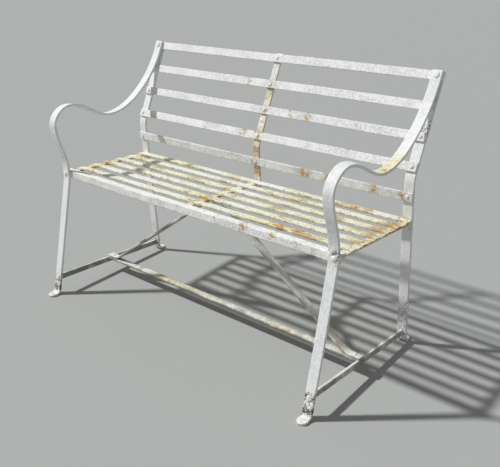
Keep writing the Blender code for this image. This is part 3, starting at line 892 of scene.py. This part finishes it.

# %% [markdown]
# ## The usual weather
#
# Five values tell how a place has weathered: rust, cream stain, dark grime that also holds painted shade,
# chips and the wear of the paint.
# Each finish has its usual amounts, and some bars have more or less: the centre strap has rusted most, the
# front rail is washed clean, and the low bars are splashed from the ground.

# %% Usual weather
USUAL = {
    "white_paint": {"rust": -0.14, "stain": 0.05, "grime_and_shade": 0.06, "chips": 0.10, "wear": 0.9},
    "pitted_rail_paint": {"rust": -0.04, "stain": 0.12, "grime_and_shade": 0.08, "chips": 0.20, "wear": 0.95},
    "stained_slat_paint": {"rust": 0.13, "stain": 0.52, "grime_and_shade": 0.15, "chips": 0.43, "wear": 1.0},
    "dirty_low_paint": {"rust": 0.0, "stain": 0.24, "grime_and_shade": 0.36, "chips": 0.16, "wear": 1.0},
    "rivet_paint": {"rust": -0.04, "stain": 0.12, "grime_and_shade": 0.10, "chips": 0.06, "wear": 0.8},
}
MORE = {
    "back_rail_1": {"rust": -0.04},
    "back_rail_5": {"rust": 0.05},
    "centre_back_strap": {"rust": 0.21, "stain": 0.48, "chips": 0.12},
    "seat_front_rail": {"rust": -0.12, "stain": -0.46, "chips": -0.17, "wear": 0.25},
    "seat_cross_bar_left": {"rust": 0.10},
    "seat_cross_bar_centre": {"rust": 0.12},
    "seat_cross_bar_right": {"rust": 0.08},
    "front_leg_arm_right": {"rust": -0.22},
    "stretcher": {"rust": 0.05, "stain": 0.12, "grime_and_shade": 0.14, "chips": 0.14},
    "brace_left": {"stain": -0.24, "grime_and_shade": -0.08},
    "brace_right": {"stain": -0.28, "grime_and_shade": -0.12},
    # The left side rail's extra grime is painted shade.
    "side_rail_left": {"stain": -0.2, "grime_and_shade": 0.16},
    "side_rail_right": {"stain": -0.28, "grime_and_shade": -0.02},
}


def usual(node, slot, name):
    """The usual amount of one kind of weather on a bar."""
    return USUAL[slot][name] + MORE.get(node, {}).get(name, 0.0)


print("the centre strap's usual rust is", round(usual("centre_back_strap", "pitted_rail_paint", "rust"), 2))

# %% [markdown]
# ## Rust and stain at a point
#
# Slow noise keeps both from being even along a bar. Rust is stronger on edges and at its spots, where
# quicker noise makes it ragged. Stain spreads farther around the same spots, is taken off faces that look
# forward, partly by rain and partly as painted cool sky light on those faces, and is strong on the feet.
# Both could be mixed in the shader, but five materials serve all 46 pieces, and only a piece's own mesh can
# carry its own spots.

# %% Rust and stain at a point
BROAD_SCALE = 7.0
BROAD_SHIFT = Vector((3.0, 1.0, 2.0))
RAGGED_SCALE = 50.0
RAGGED_SHIFT = Vector((0.0, 4.0, 1.0))
RUST_DRIFT = 0.14
RUST_WIDENING = 1.2
SPOT_SHARE = 0.76
RAGGED_SHARE = 0.6
EDGE_RUST = 0.06
STAIN_DRIFT = 0.9
STAIN_WIDENING = 2.0
STAIN_SHARE = 0.7
# Stain taken off forward faces: rain wash and painted cool sky light.
RAIN_WASH_AND_PAINTED_SKYLIGHT = 0.22
FOOT_HEIGHT = 0.03
FOOT_STAIN = 0.45


def broad_noise(point):
    """Slow noise along the bars."""
    return noise.noise(point * BROAD_SCALE + BROAD_SHIFT)


def near_ground(point):
    """1 on the ground and 0 above the feet."""
    return max(0.0, 1.0 - point.z / FOOT_HEIGHT)


def rust_at(node, slot, point, edge):
    """The rust at a point of a bar."""
    ragged = noise.noise(point * RAGGED_SCALE + RAGGED_SHIFT)
    spots = spot_value(RUST_SPOTS, node, point, RUST_WIDENING)
    rust = usual(node, slot, "rust") + RUST_DRIFT * broad_noise(point) + EDGE_RUST * edge
    return rust + SPOT_SHARE * spots * (1.0 + RAGGED_SHARE * ragged)


def stain_at(node, slot, point, normal):
    """The cream stain at a point of a bar."""
    stain = usual(node, slot, "stain") * (1.0 + STAIN_DRIFT * broad_noise(point))
    # Forward faces lose stain: partly rain wash, partly painted cool sky light.
    stain -= RAIN_WASH_AND_PAINTED_SKYLIGHT * max(0.0, -normal.y)
    stain += STAIN_SHARE * spot_value(RUST_SPOTS, node, point, STAIN_WIDENING)
    return stain + FOOT_STAIN * near_ground(point)


strap_spot = Vector((0.0, 0.0, RUST_SPOTS["centre_back_strap"][0][0]))
strap_rust = rust_at("centre_back_strap", "pitted_rail_paint", strap_spot, 0.0)
print("rust at the height of the strap's first spot", round(strap_rust, 2))

# %% [markdown]
# ## Grime, chips and wear at a point
#
# Undersides are darkened with painted shade and tops are rinsed. The low bars are splashed on their sides
# and carry painted shade there too, the slats hold dirt along their edges with painted shade of the gaps,
# and the feet stand in dirt. Chips follow their spots. The paint's wear grows from the left end of the bench
# to the right, as on the real one.

# %% Grime, chips and wear at a point
DRIFT_SCALE = 22.0
GRIME_DRIFT = 0.9
TOP_RINSE = 0.2
# Painted shade: undersides are darkened as if they lay in shade.
UNDERSIDE_PAINTED_SHADE = {"white_paint": 0.26, "pitted_rail_paint": 0.25, "stained_slat_paint": 0.35,
                   "dirty_low_paint": 0.35, "rivet_paint": 0.2}
# Sides of the low bars: splashed dirt and painted shade.
SPLASH_AND_PAINTED_SHADE = {"dirty_low_paint": 0.34}
# Slat edges: dirt and painted shade of the gaps between slats.
EDGE_GRIME_AND_PAINTED_SHADE = {"stained_slat_paint": 0.32}
FOOT_GRIME = 0.2
CHIP_DRIFT = 0.4
SIDE_WEAR = 0.6
WEAR_DRIFT = 0.5


def drift_noise(point):
    """Quicker noise, which changes every few centimetres."""
    return noise.noise(point * DRIFT_SCALE)


def grime_and_painted_shade_at(node, slot, point, normal, edge):
    """The dark grime at a point of a bar, with painted shade on undersides, low bars' sides and slat edges.
    """
    above = max(0.0, normal.z)
    below = max(0.0, -normal.z)
    grime_and_shade = usual(node, slot, "grime_and_shade") * (1.0 + GRIME_DRIFT * drift_noise(point))
    # Undersides get painted shade; tops are rinsed of grime.
    grime_and_shade += UNDERSIDE_PAINTED_SHADE[slot] * below - TOP_RINSE * above
    # Sides of low bars: splashed dirt and painted shade; slat edges: dirt and painted shade of the gaps.
    grime_and_shade += SPLASH_AND_PAINTED_SHADE.get(slot, 0.0) * (1.0 - above) + EDGE_GRIME_AND_PAINTED_SHADE.get(slot, 0.0) * edge
    return grime_and_shade + FOOT_GRIME * near_ground(point)


def chips_at(node, slot, point):
    """How readily paint is chipped off at a point of a bar."""
    spots = spot_value(CHIP_SPOTS, node, point, 1.0)
    return usual(node, slot, "chips") + spots * (1.0 + CHIP_DRIFT * drift_noise(point))


def wear_at(node, slot, point):
    """How strongly the lumps of the paint show at a point of a bar."""
    return max(0.0, usual(node, slot, "wear") + SIDE_WEAR * point.x + WEAR_DRIFT * broad_noise(point))


print("wear at the right end of a rail", round(wear_at("back_rail_1", "pitted_rail_paint", X_AXIS / 2), 2))

# %% [markdown]
# ## Forged surfaces
#
# Hammered and often painted iron is never flat. Every point is moved outward or inward by smooth noise of
# three sizes, more on the rails and slats than on the legs, and rust lifts it a little more. A displacement
# modifier could do the same at render time; moving the points here keeps the shape in the mesh itself. At
# the right seat joint a painted-over bolt stands out as a knob.

# %% Forged surfaces
RELIEF = {"white_paint": 0.00024, "pitted_rail_paint": 0.00052, "stained_slat_paint": 0.00046,
          "dirty_low_paint": 0.00038, "rivet_paint": 0.00025}
LUMP_SIZES = [(38.0, Vector(), 0.7), (95.0, Vector((5.0, 0.0, 2.0)), 0.8), (180.0, Vector(), 0.5)]
RUST_LIFT = 0.0006
BLISTER_SCALE = 150.0
KNOB_NODE = "front_leg_arm_right"
KNOB_X = 0.567
KNOB_Z = 0.449
KNOB_RADIUS = 0.0085
KNOB_HEIGHT = 0.0028
KNOB_FACING = -0.5


def relief_at(point):
    """Lumps of three sizes at a point, around zero."""
    return sum(weight * noise.noise(point * scale + shift) for scale, shift, weight in LUMP_SIZES)


def knob_at(node, point, normal):
    """The painted-over bolt above the right seat joint, as a height over the leg's front."""
    away = math.hypot(point.x - KNOB_X, point.z - KNOB_Z) / KNOB_RADIUS
    if node != KNOB_NODE or normal.y > KNOB_FACING or away > 1.0:
        return 0.0
    return KNOB_HEIGHT * math.sqrt(1.0 - away * away)


def lift_at(node, slot, point, normal, rust):
    """How far lumps, blisters of rust and the knob move a point outward."""
    lumpy = RELIEF[slot] * (1.0 + spot_value(LUMP_SPOTS, node, point, 1.0))
    blister = RUST_LIFT * max(0.0, rust) * noise.noise(point * BLISTER_SCALE)
    return lumpy * relief_at(point) + blister + knob_at(node, point, normal)


print("relief on the rails about", RELIEF["pitted_rail_paint"] * 1000, "mm")

# %% [markdown]
# ## Forging a piece
#
# The whole bench sways by about a millimetre, so no bar is quite straight. The sway's noise takes a seed,
# which is set to make the same bench every time. Then a piece's shells become one mesh. Its weather is
# stored as attributes at the points, where the materials can read it; an image would need unwrapped bars.
# The heads of tenons were painted with the legs and weather as rivets do.

# %% Forging a piece
WEATHER_NAMES = ("rust", "stain", "grime_and_shade", "chips", "wear")
HEAD_SLOT = "rivet_paint"
SWAY = 0.0012
SWAY_SCALE = 3.0
SWAY_START = 0.12
SWAY_SEED = 7

noise.seed_set(SWAY_SEED)


def sway_at(point):
    """A slow drift of the whole bench, fading out at the feet."""
    share = SWAY * min(1.0, point.z / SWAY_START)
    return Vector(noise.noise_vector(point * SWAY_SCALE)) * share


def weather_at(node, slot, point, normal, edge):
    """Rust, stain, grime with painted shade, chips and wear at a point of a bar."""
    return (rust_at(node, slot, point, edge), stain_at(node, slot, point, normal),
            grime_and_painted_shade_at(node, slot, point, normal, edge), chips_at(node, slot, point),
            wear_at(node, slot, point))


def forge(node, slot):
    """The worn mesh of a piece, with its weather stored at every point."""
    points = []
    faces = []
    weather = []
    for index, (shell_points, normals, edges, shell_faces) in enumerate(shells_of(node)):
        weather_slot = slot if index == 0 else HEAD_SLOT
        start = len(points)
        faces += [tuple(start + corner for corner in face) for face in shell_faces]
        for point, normal, edge in zip(shell_points, normals, edges):
            values = weather_at(node, weather_slot, point, normal, edge)
            lift = lift_at(node, slot, point, normal, values[0])
            points.append(point + normal * lift + sway_at(point))
            weather.append(values)
    mesh = bpy.data.meshes.new(node + "_forged")
    mesh.from_pydata(points, [], faces)
    for index, name in enumerate(WEATHER_NAMES):
        layer = mesh.attributes.new(name, "FLOAT", "POINT")
        layer.data.foreach_set("value", [values[index] for values in weather])
    mesh.shade_smooth()
    return mesh


slat_sway = sway_at(mean(corners_of("seat_slat_3")))
print("the third slat's middle sways by", round(slat_sway.length * 1000, 2), "mm")

# %% [markdown]
# ## Helpers for shader nodes
#
# All finishes on the bench are the same story told with other numbers: lumpy paint, a wash of stain, rust
# that blooms through, and chips down to the iron. Each effect is a node group with named sockets, built
# once, and a material sets its own colours and amounts. One helper adds a node to a group or a material, and
# another starts a group.

# %% Node helpers
def put(tree, kind, sockets, **settings):
    """A node with its settings; each socket gets a value or a link from another node's output."""
    made = tree.nodes.new(kind)
    for name, value in settings.items():
        setattr(made, name, value)
    for name, value in sockets.items():
        if isinstance(value, bpy.types.NodeSocket):
            tree.links.new(value, made.inputs[name])
        else:
            made.inputs[name].default_value = value
    return made


def new_group(name, inputs, outputs):
    """A shader node group with named sockets, and its input and output sockets."""
    group = bpy.data.node_groups.new(name, "ShaderNodeTree")
    for label, kind in inputs:
        group.interface.new_socket(label, in_out="INPUT", socket_type="NodeSocket" + kind)
    for label, kind in outputs:
        group.interface.new_socket(label, in_out="OUTPUT", socket_type="NodeSocket" + kind)
    entry = group.nodes.new("NodeGroupInput").outputs
    leave = group.nodes.new("NodeGroupOutput").inputs
    return group, entry, leave


print("helpers:", put.__name__, new_group.__name__)

# %% [markdown]
# ## Steps inside a group
#
# The groups are built of a few steps: noise, a soft step that turns noise into a mask, a blend of two
# colours and some arithmetic. Written as functions, they keep the groups short to read. The sockets of a mix
# node share their names, so those for colours are told apart by number.

# %% Steps inside a group
GRAIN_ROUGHNESS = 0.6
GRAIN_MIDDLE = 0.5
MIX_SHARE = 0
MIX_BASE = 6
MIX_TOP = 7
MIX_RESULT = 2


def grain(tree, place, scale, detail):
    """Noise between 0 and 1."""
    sockets = {"Vector": place, "Scale": scale, "Detail": detail, "Roughness": GRAIN_ROUGHNESS}
    return put(tree, "ShaderNodeTexNoise", sockets).outputs[0]


def step_between(tree, value, low, high):
    """A soft step from 0 to 1 between two levels."""
    sockets = {"Value": value, "From Min": low, "From Max": high}
    return put(tree, "ShaderNodeMapRange", sockets, interpolation_type="SMOOTHSTEP").outputs[0]


def between(tree, share, low, high):
    """A value between two values."""
    return put(tree, "ShaderNodeMapRange", {"Value": share, "To Min": low, "To Max": high}).outputs[0]


def blend(tree, share, base, top, how="MIX"):
    """A colour between two colours, or a colour tinted by another."""
    sockets = {MIX_SHARE: share, MIX_BASE: base, MIX_TOP: top}
    return put(tree, "ShaderNodeMix", sockets, data_type="RGBA", blend_type=how).outputs[MIX_RESULT]


def reckon(tree, operation, one, two):
    """A sum, product or difference of two values."""
    return put(tree, "ShaderNodeMath", {0: one, 1: two}, operation=operation).outputs[0]


def add_up(tree, amount, *grains):
    """An amount with centred grains added to it; each grain is a (noise, weight) pair."""
    total = amount
    for noise_value, weight in grains:
        centred = reckon(tree, "SUBTRACT", noise_value, GRAIN_MIDDLE)
        total = reckon(tree, "ADD", total, reckon(tree, "MULTIPLY", centred, weight))
    return total


print("steps:", [step.__name__ for step in (grain, step_between, between, blend, reckon, add_up)])

# %% [markdown]
# ## Lumpy paint
#
# Many coats of brushed paint make soft lumps, and dust greys the hollows between them; the faint lilac in
# the hollow colours is painted sky light. One noise gives the lumps, a broad one lets them come and go, and
# a fine one is the grain of the brush. The stored wear says how strongly the hollows show. Dusty hollows are
# rougher than paint, and the lumps go out as a height for the bump.

# %% Lumpy paint
PAINT_ROUGHNESS = 0.56
DUST_ROUGHNESS = 0.76
LUMP_DETAIL = 3.0
PATCH_SCALE = 16.0
PATCH_DETAIL = 2.0
PATCH_WEIGHT = 0.55
BRUSH_SCALE = 340.0
BRUSH_DETAIL = 2.0
BRUSH_WEIGHT = 0.75
BRUSH_HEIGHT = 0.3
HOLLOW_START = 0.58
HOLLOW_FULL = 0.36

lumpy_paint, entry, leave = new_group(
    "lumpy_paint",
    [("Place", "Vector"), ("Paint", "Color"), ("Shade", "Color"), ("Lump Scale", "Float"),
     ("Lump Share", "Float"), ("Wear", "Float")],
    [("Colour", "Color"), ("Height", "Float"), ("Roughness", "Float")])
lumps = grain(lumpy_paint, entry["Place"], entry["Lump Scale"], LUMP_DETAIL)
patches = grain(lumpy_paint, entry["Place"], PATCH_SCALE, PATCH_DETAIL)
brush = grain(lumpy_paint, entry["Place"], BRUSH_SCALE, BRUSH_DETAIL)
worn = add_up(lumpy_paint, lumps, (patches, PATCH_WEIGHT), (brush, BRUSH_WEIGHT))
hollow = step_between(lumpy_paint, worn, HOLLOW_START, HOLLOW_FULL)
worn_share = reckon(lumpy_paint, "MULTIPLY", entry["Lump Share"], entry["Wear"])
share = reckon(lumpy_paint, "MULTIPLY", hollow, worn_share)
dusty = between(lumpy_paint, hollow, PAINT_ROUGHNESS, DUST_ROUGHNESS)
lumpy_paint.links.new(blend(lumpy_paint, share, entry["Paint"], entry["Shade"]), leave["Colour"])
lumpy_paint.links.new(add_up(lumpy_paint, lumps, (brush, BRUSH_HEIGHT)), leave["Height"])
lumpy_paint.links.new(dusty, leave["Roughness"])
print("group:", lumpy_paint.name)

# %% [markdown]
# ## Stains
#
# Water carries rust and dirt over the paint and leaves a wash of colour. The stored amount is broken up by
# cloudy noise, so the wash has soft uneven borders. It tints the paint and doesn't cover it, so the lumps
# below stay visible. The group serves twice: for cream stain and for grime, whose amount also holds painted
# shade.

# %% Stains
CLOUD_DETAIL = 5.0
CLOUD_WEIGHT = 1.9
WASH_START = 0.15
WASH_FULL = 0.95

stain_wash, entry, leave = new_group(
    "stain_wash",
    [("Place", "Vector"), ("Colour", "Color"), ("Amount", "Float"), ("Tint", "Color"),
     ("Cloud Scale", "Float")],
    [("Colour", "Color")])
clouds = grain(stain_wash, entry["Place"], entry["Cloud Scale"], CLOUD_DETAIL)
cloudy = add_up(stain_wash, entry["Amount"], (clouds, CLOUD_WEIGHT))
wash = step_between(stain_wash, cloudy, WASH_START, WASH_FULL)
tinted = blend(stain_wash, wash, entry["Colour"], entry["Tint"], "MULTIPLY")
stain_wash.links.new(tinted, leave["Colour"])
print("group:", stain_wash.name)

# %% [markdown]
# ## Rust
#
# Rust breaks through in small ragged patches: a tan rim, orange rust and a dark core. Strong noise decides
# where the stored amount shows, so a spot is never a plain band. The place is stretched along the bar,
# because rust creeps under the paint in the direction of rolling. Blisters add to the height, and rust is
# rougher than paint.

# %% Rust
TAN_RUST = (0.42, 0.33, 0.17, 1.0)
ORANGE_RUST = (0.66, 0.34, 0.135, 1.0)
DARK_RUST = (0.21, 0.09, 0.04, 1.0)
RUST_ROUGHNESS = 0.95
FINE_SCALE = 190.0
FINE_DETAIL = 4.0
FINE_WEIGHT = 1.7
COARSE_SCALE = 62.0
COARSE_DETAIL = 3.0
COARSE_WEIGHT = 1.4
RIM_LEVELS = (0.24, 0.54)
BLOOM_LEVELS = (0.48, 0.70)
CORE_LEVELS = (0.84, 1.12)
RIM_COVER = 0.48
BLOOM_COVER = 0.78

rust_bloom, entry, leave = new_group(
    "rust_bloom",
    [("Place", "Vector"), ("Stretch", "Vector"), ("Colour", "Color"), ("Height", "Float"),
     ("Roughness", "Float"), ("Amount", "Float")],
    [("Colour", "Color"), ("Height", "Float"), ("Roughness", "Float")])
stretching = {0: entry["Place"], 1: entry["Stretch"]}
creep = put(rust_bloom, "ShaderNodeVectorMath", stretching, operation="MULTIPLY").outputs[0]
fine = grain(rust_bloom, creep, FINE_SCALE, FINE_DETAIL)
coarse = grain(rust_bloom, creep, COARSE_SCALE, COARSE_DETAIL)
amount = add_up(rust_bloom, entry["Amount"], (fine, FINE_WEIGHT), (coarse, COARSE_WEIGHT))
rim = step_between(rust_bloom, amount, *RIM_LEVELS)
bloom = step_between(rust_bloom, amount, *BLOOM_LEVELS)
core = step_between(rust_bloom, amount, *CORE_LEVELS)
tanned = blend(rust_bloom, reckon(rust_bloom, "MULTIPLY", rim, RIM_COVER), entry["Colour"], TAN_RUST)
orange = blend(rust_bloom, reckon(rust_bloom, "MULTIPLY", bloom, BLOOM_COVER), tanned, ORANGE_RUST)
blisters = reckon(rust_bloom, "MULTIPLY", bloom, fine)
rough = between(rust_bloom, bloom, entry["Roughness"], RUST_ROUGHNESS)
rust_bloom.links.new(blend(rust_bloom, core, orange, DARK_RUST), leave["Colour"])
rust_bloom.links.new(reckon(rust_bloom, "ADD", entry["Height"], blisters), leave["Height"])
rust_bloom.links.new(rough, leave["Roughness"])
print("group:", rust_bloom.name)

# %% [markdown]
# ## Chips
#
# Near the ground the paint is knocked off in small flakes, down to dark iron. A sharp step in fine noise
# gives separate specks, and they lie deeper than the paint. Modelled chips would need far more points than
# specks of this size are worth.

# %% Chips
BARE_IRON = (0.13, 0.11, 0.09, 1.0)
FLAKE_SCALE = 230.0
FLAKE_DETAIL = 2.0
FLAKE_WEIGHT = 2.4
CHIP_LEVELS = (0.68, 0.90)
CHIP_DEPTH = 0.7

chipped_specks, entry, leave = new_group(
    "chipped_specks",
    [("Place", "Vector"), ("Colour", "Color"), ("Height", "Float"), ("Amount", "Float")],
    [("Colour", "Color"), ("Height", "Float")])
flakes = grain(chipped_specks, entry["Place"], FLAKE_SCALE, FLAKE_DETAIL)
loosened = add_up(chipped_specks, entry["Amount"], (flakes, FLAKE_WEIGHT))
chips = step_between(chipped_specks, loosened, *CHIP_LEVELS)
chip_depth = reckon(chipped_specks, "MULTIPLY", chips, CHIP_DEPTH)
lowered = reckon(chipped_specks, "SUBTRACT", entry["Height"], chip_depth)
chipped_specks.links.new(blend(chipped_specks, chips, entry["Colour"], BARE_IRON), leave["Colour"])
chipped_specks.links.new(lowered, leave["Height"])
print("group:", chipped_specks.name)

# %% [markdown]
# ## Finishes
#
# Legs, arms and posts keep the cleanest white paint, chipped near the ground. The rails' paint is thick and
# pitted. The slats have turned cream from use and standing rain. The low bars are the dirtiest, splashed
# from the ground. Each finish is a set of colours and sizes for the same groups.

# %% Finishes
# The faint lilac tint of the Shade colours is painted sky light; their grey is dust.
FINISHES = {
    "white_paint": {
        "Paint": (0.88, 0.89, 0.88, 1.0), "Shade": (0.66, 0.67, 0.69, 1.0),
        "Stain": (0.95, 0.86, 0.54, 1.0), "Grime And Shade": (0.52, 0.53, 0.48, 1.0),
        "Lump Scale": 110.0, "Lump Share": 0.42, "Stretch": (1.0, 1.0, 0.6), "Bump": 0.55},
    "pitted_rail_paint": {
        "Paint": (0.90, 0.905, 0.89, 1.0), "Shade": (0.60, 0.60, 0.63, 1.0),
        "Stain": (0.91, 0.80, 0.56, 1.0), "Grime And Shade": (0.51, 0.49, 0.48, 1.0),
        "Lump Scale": 165.0, "Lump Share": 0.7, "Stretch": (0.55, 1.0, 1.0), "Bump": 1.0},
    "stained_slat_paint": {
        "Paint": (0.97, 0.97, 0.925, 1.0), "Shade": (0.60, 0.60, 0.605, 1.0),
        "Stain": (0.985, 0.95, 0.66, 1.0), "Grime And Shade": (0.42, 0.36, 0.23, 1.0),
        "Lump Scale": 150.0, "Lump Share": 0.42, "Stretch": (0.5, 1.0, 1.0), "Bump": 0.8},
    "dirty_low_paint": {
        "Paint": (0.83, 0.84, 0.80, 1.0), "Shade": (0.59, 0.605, 0.59, 1.0),
        "Stain": (0.91, 0.82, 0.56, 1.0), "Grime And Shade": (0.35, 0.355, 0.335, 1.0),
        "Lump Scale": 90.0, "Lump Share": 0.7, "Stretch": (0.7, 0.7, 0.7), "Bump": 0.7},
    "rivet_paint": {
        "Paint": (0.86, 0.865, 0.85, 1.0), "Shade": (0.64, 0.64, 0.67, 1.0),
        "Stain": (0.91, 0.80, 0.56, 1.0), "Grime And Shade": (0.49, 0.47, 0.43, 1.0),
        "Lump Scale": 130.0, "Lump Share": 0.6, "Stretch": (1.0, 1.0, 1.0), "Bump": 0.5},
}
print(len(FINISHES), "finishes")

# %% [markdown]
# ## From groups to materials
#
# A finish reads the five stored values and passes them through the groups in the order of the real thing:
# paint, stain, grime with painted shade, rust, chips. Colours, roughness and height then meet in the
# Principled shader. Five separate materials could be built by hand, but one function keeps them alike.

# %% Materials
BUMP_DEPTH = 0.0013
PAINT_SHINE = 0.22
STAIN_CLOUDS = 60.0
GRIME_AND_SHADE_CLOUDS = 19.0


def use_group(tree, group, sockets):
    """The outputs of a node group put into a material with its own values."""
    return put(tree, "ShaderNodeGroup", sockets, node_tree=group).outputs


def stored(tree, name):
    """A value stored at the points of a mesh."""
    return put(tree, "ShaderNodeAttribute", {}, attribute_name=name).outputs["Fac"]


def make_finish(name, look):
    """A material of old paint."""
    material = bpy.data.materials.new(name)
    material.use_nodes = True
    tree = material.node_tree
    shader = tree.nodes["Principled BSDF"]
    place = put(tree, "ShaderNodeTexCoord", {}).outputs["Object"]
    paint = use_group(tree, lumpy_paint, {
        "Place": place, "Paint": look["Paint"], "Shade": look["Shade"],
        "Lump Scale": look["Lump Scale"], "Lump Share": look["Lump Share"],
        "Wear": stored(tree, "wear")})
    stained = use_group(tree, stain_wash, {
        "Place": place, "Colour": paint["Colour"], "Amount": stored(tree, "stain"),
        "Tint": look["Stain"], "Cloud Scale": STAIN_CLOUDS})
    dirty_and_shaded = use_group(tree, stain_wash, {
        "Place": place, "Colour": stained["Colour"], "Amount": stored(tree, "grime_and_shade"),
        "Tint": look["Grime And Shade"], "Cloud Scale": GRIME_AND_SHADE_CLOUDS})
    rusted = use_group(tree, rust_bloom, {
        "Place": place, "Stretch": look["Stretch"], "Colour": dirty_and_shaded["Colour"],
        "Height": paint["Height"], "Roughness": paint["Roughness"], "Amount": stored(tree, "rust")})
    chipped = use_group(tree, chipped_specks, {
        "Place": place, "Colour": rusted["Colour"], "Height": rusted["Height"],
        "Amount": stored(tree, "chips")})
    bump = put(tree, "ShaderNodeBump", {
        "Strength": look["Bump"], "Distance": BUMP_DEPTH, "Height": chipped["Height"]})
    tree.links.new(chipped["Colour"], shader.inputs["Base Color"])
    tree.links.new(rusted["Roughness"], shader.inputs["Roughness"])
    tree.links.new(bump.outputs["Normal"], shader.inputs["Normal"])
    shader.inputs["Specular IOR Level"].default_value = PAINT_SHINE
    return material


finishes = {name: make_finish(name, look) for name, look in FINISHES.items()}
print("materials:", list(finishes))

# %% [markdown]
# ## Dress the frame
#
# Each piece takes the place of one solid, moves with the frame's only body and keeps the name of its finish.
# The pieces could be joined into one mesh, but then no bar could be reused or changed by itself.

# %% Dress the frame
count = 0
for subpart in frame["record"]["subparts"]:
    node = subpart["node"]
    slot = subpart["material_slot"]
    mesh = forge(node, slot)
    mesh.materials.append(finishes[slot])
    piece = bpy.data.objects.new(node + "_forged", mesh)
    bpy.context.scene.collection.objects.link(piece)
    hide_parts(node)
    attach(piece, "root")
    count += len(mesh.vertices)
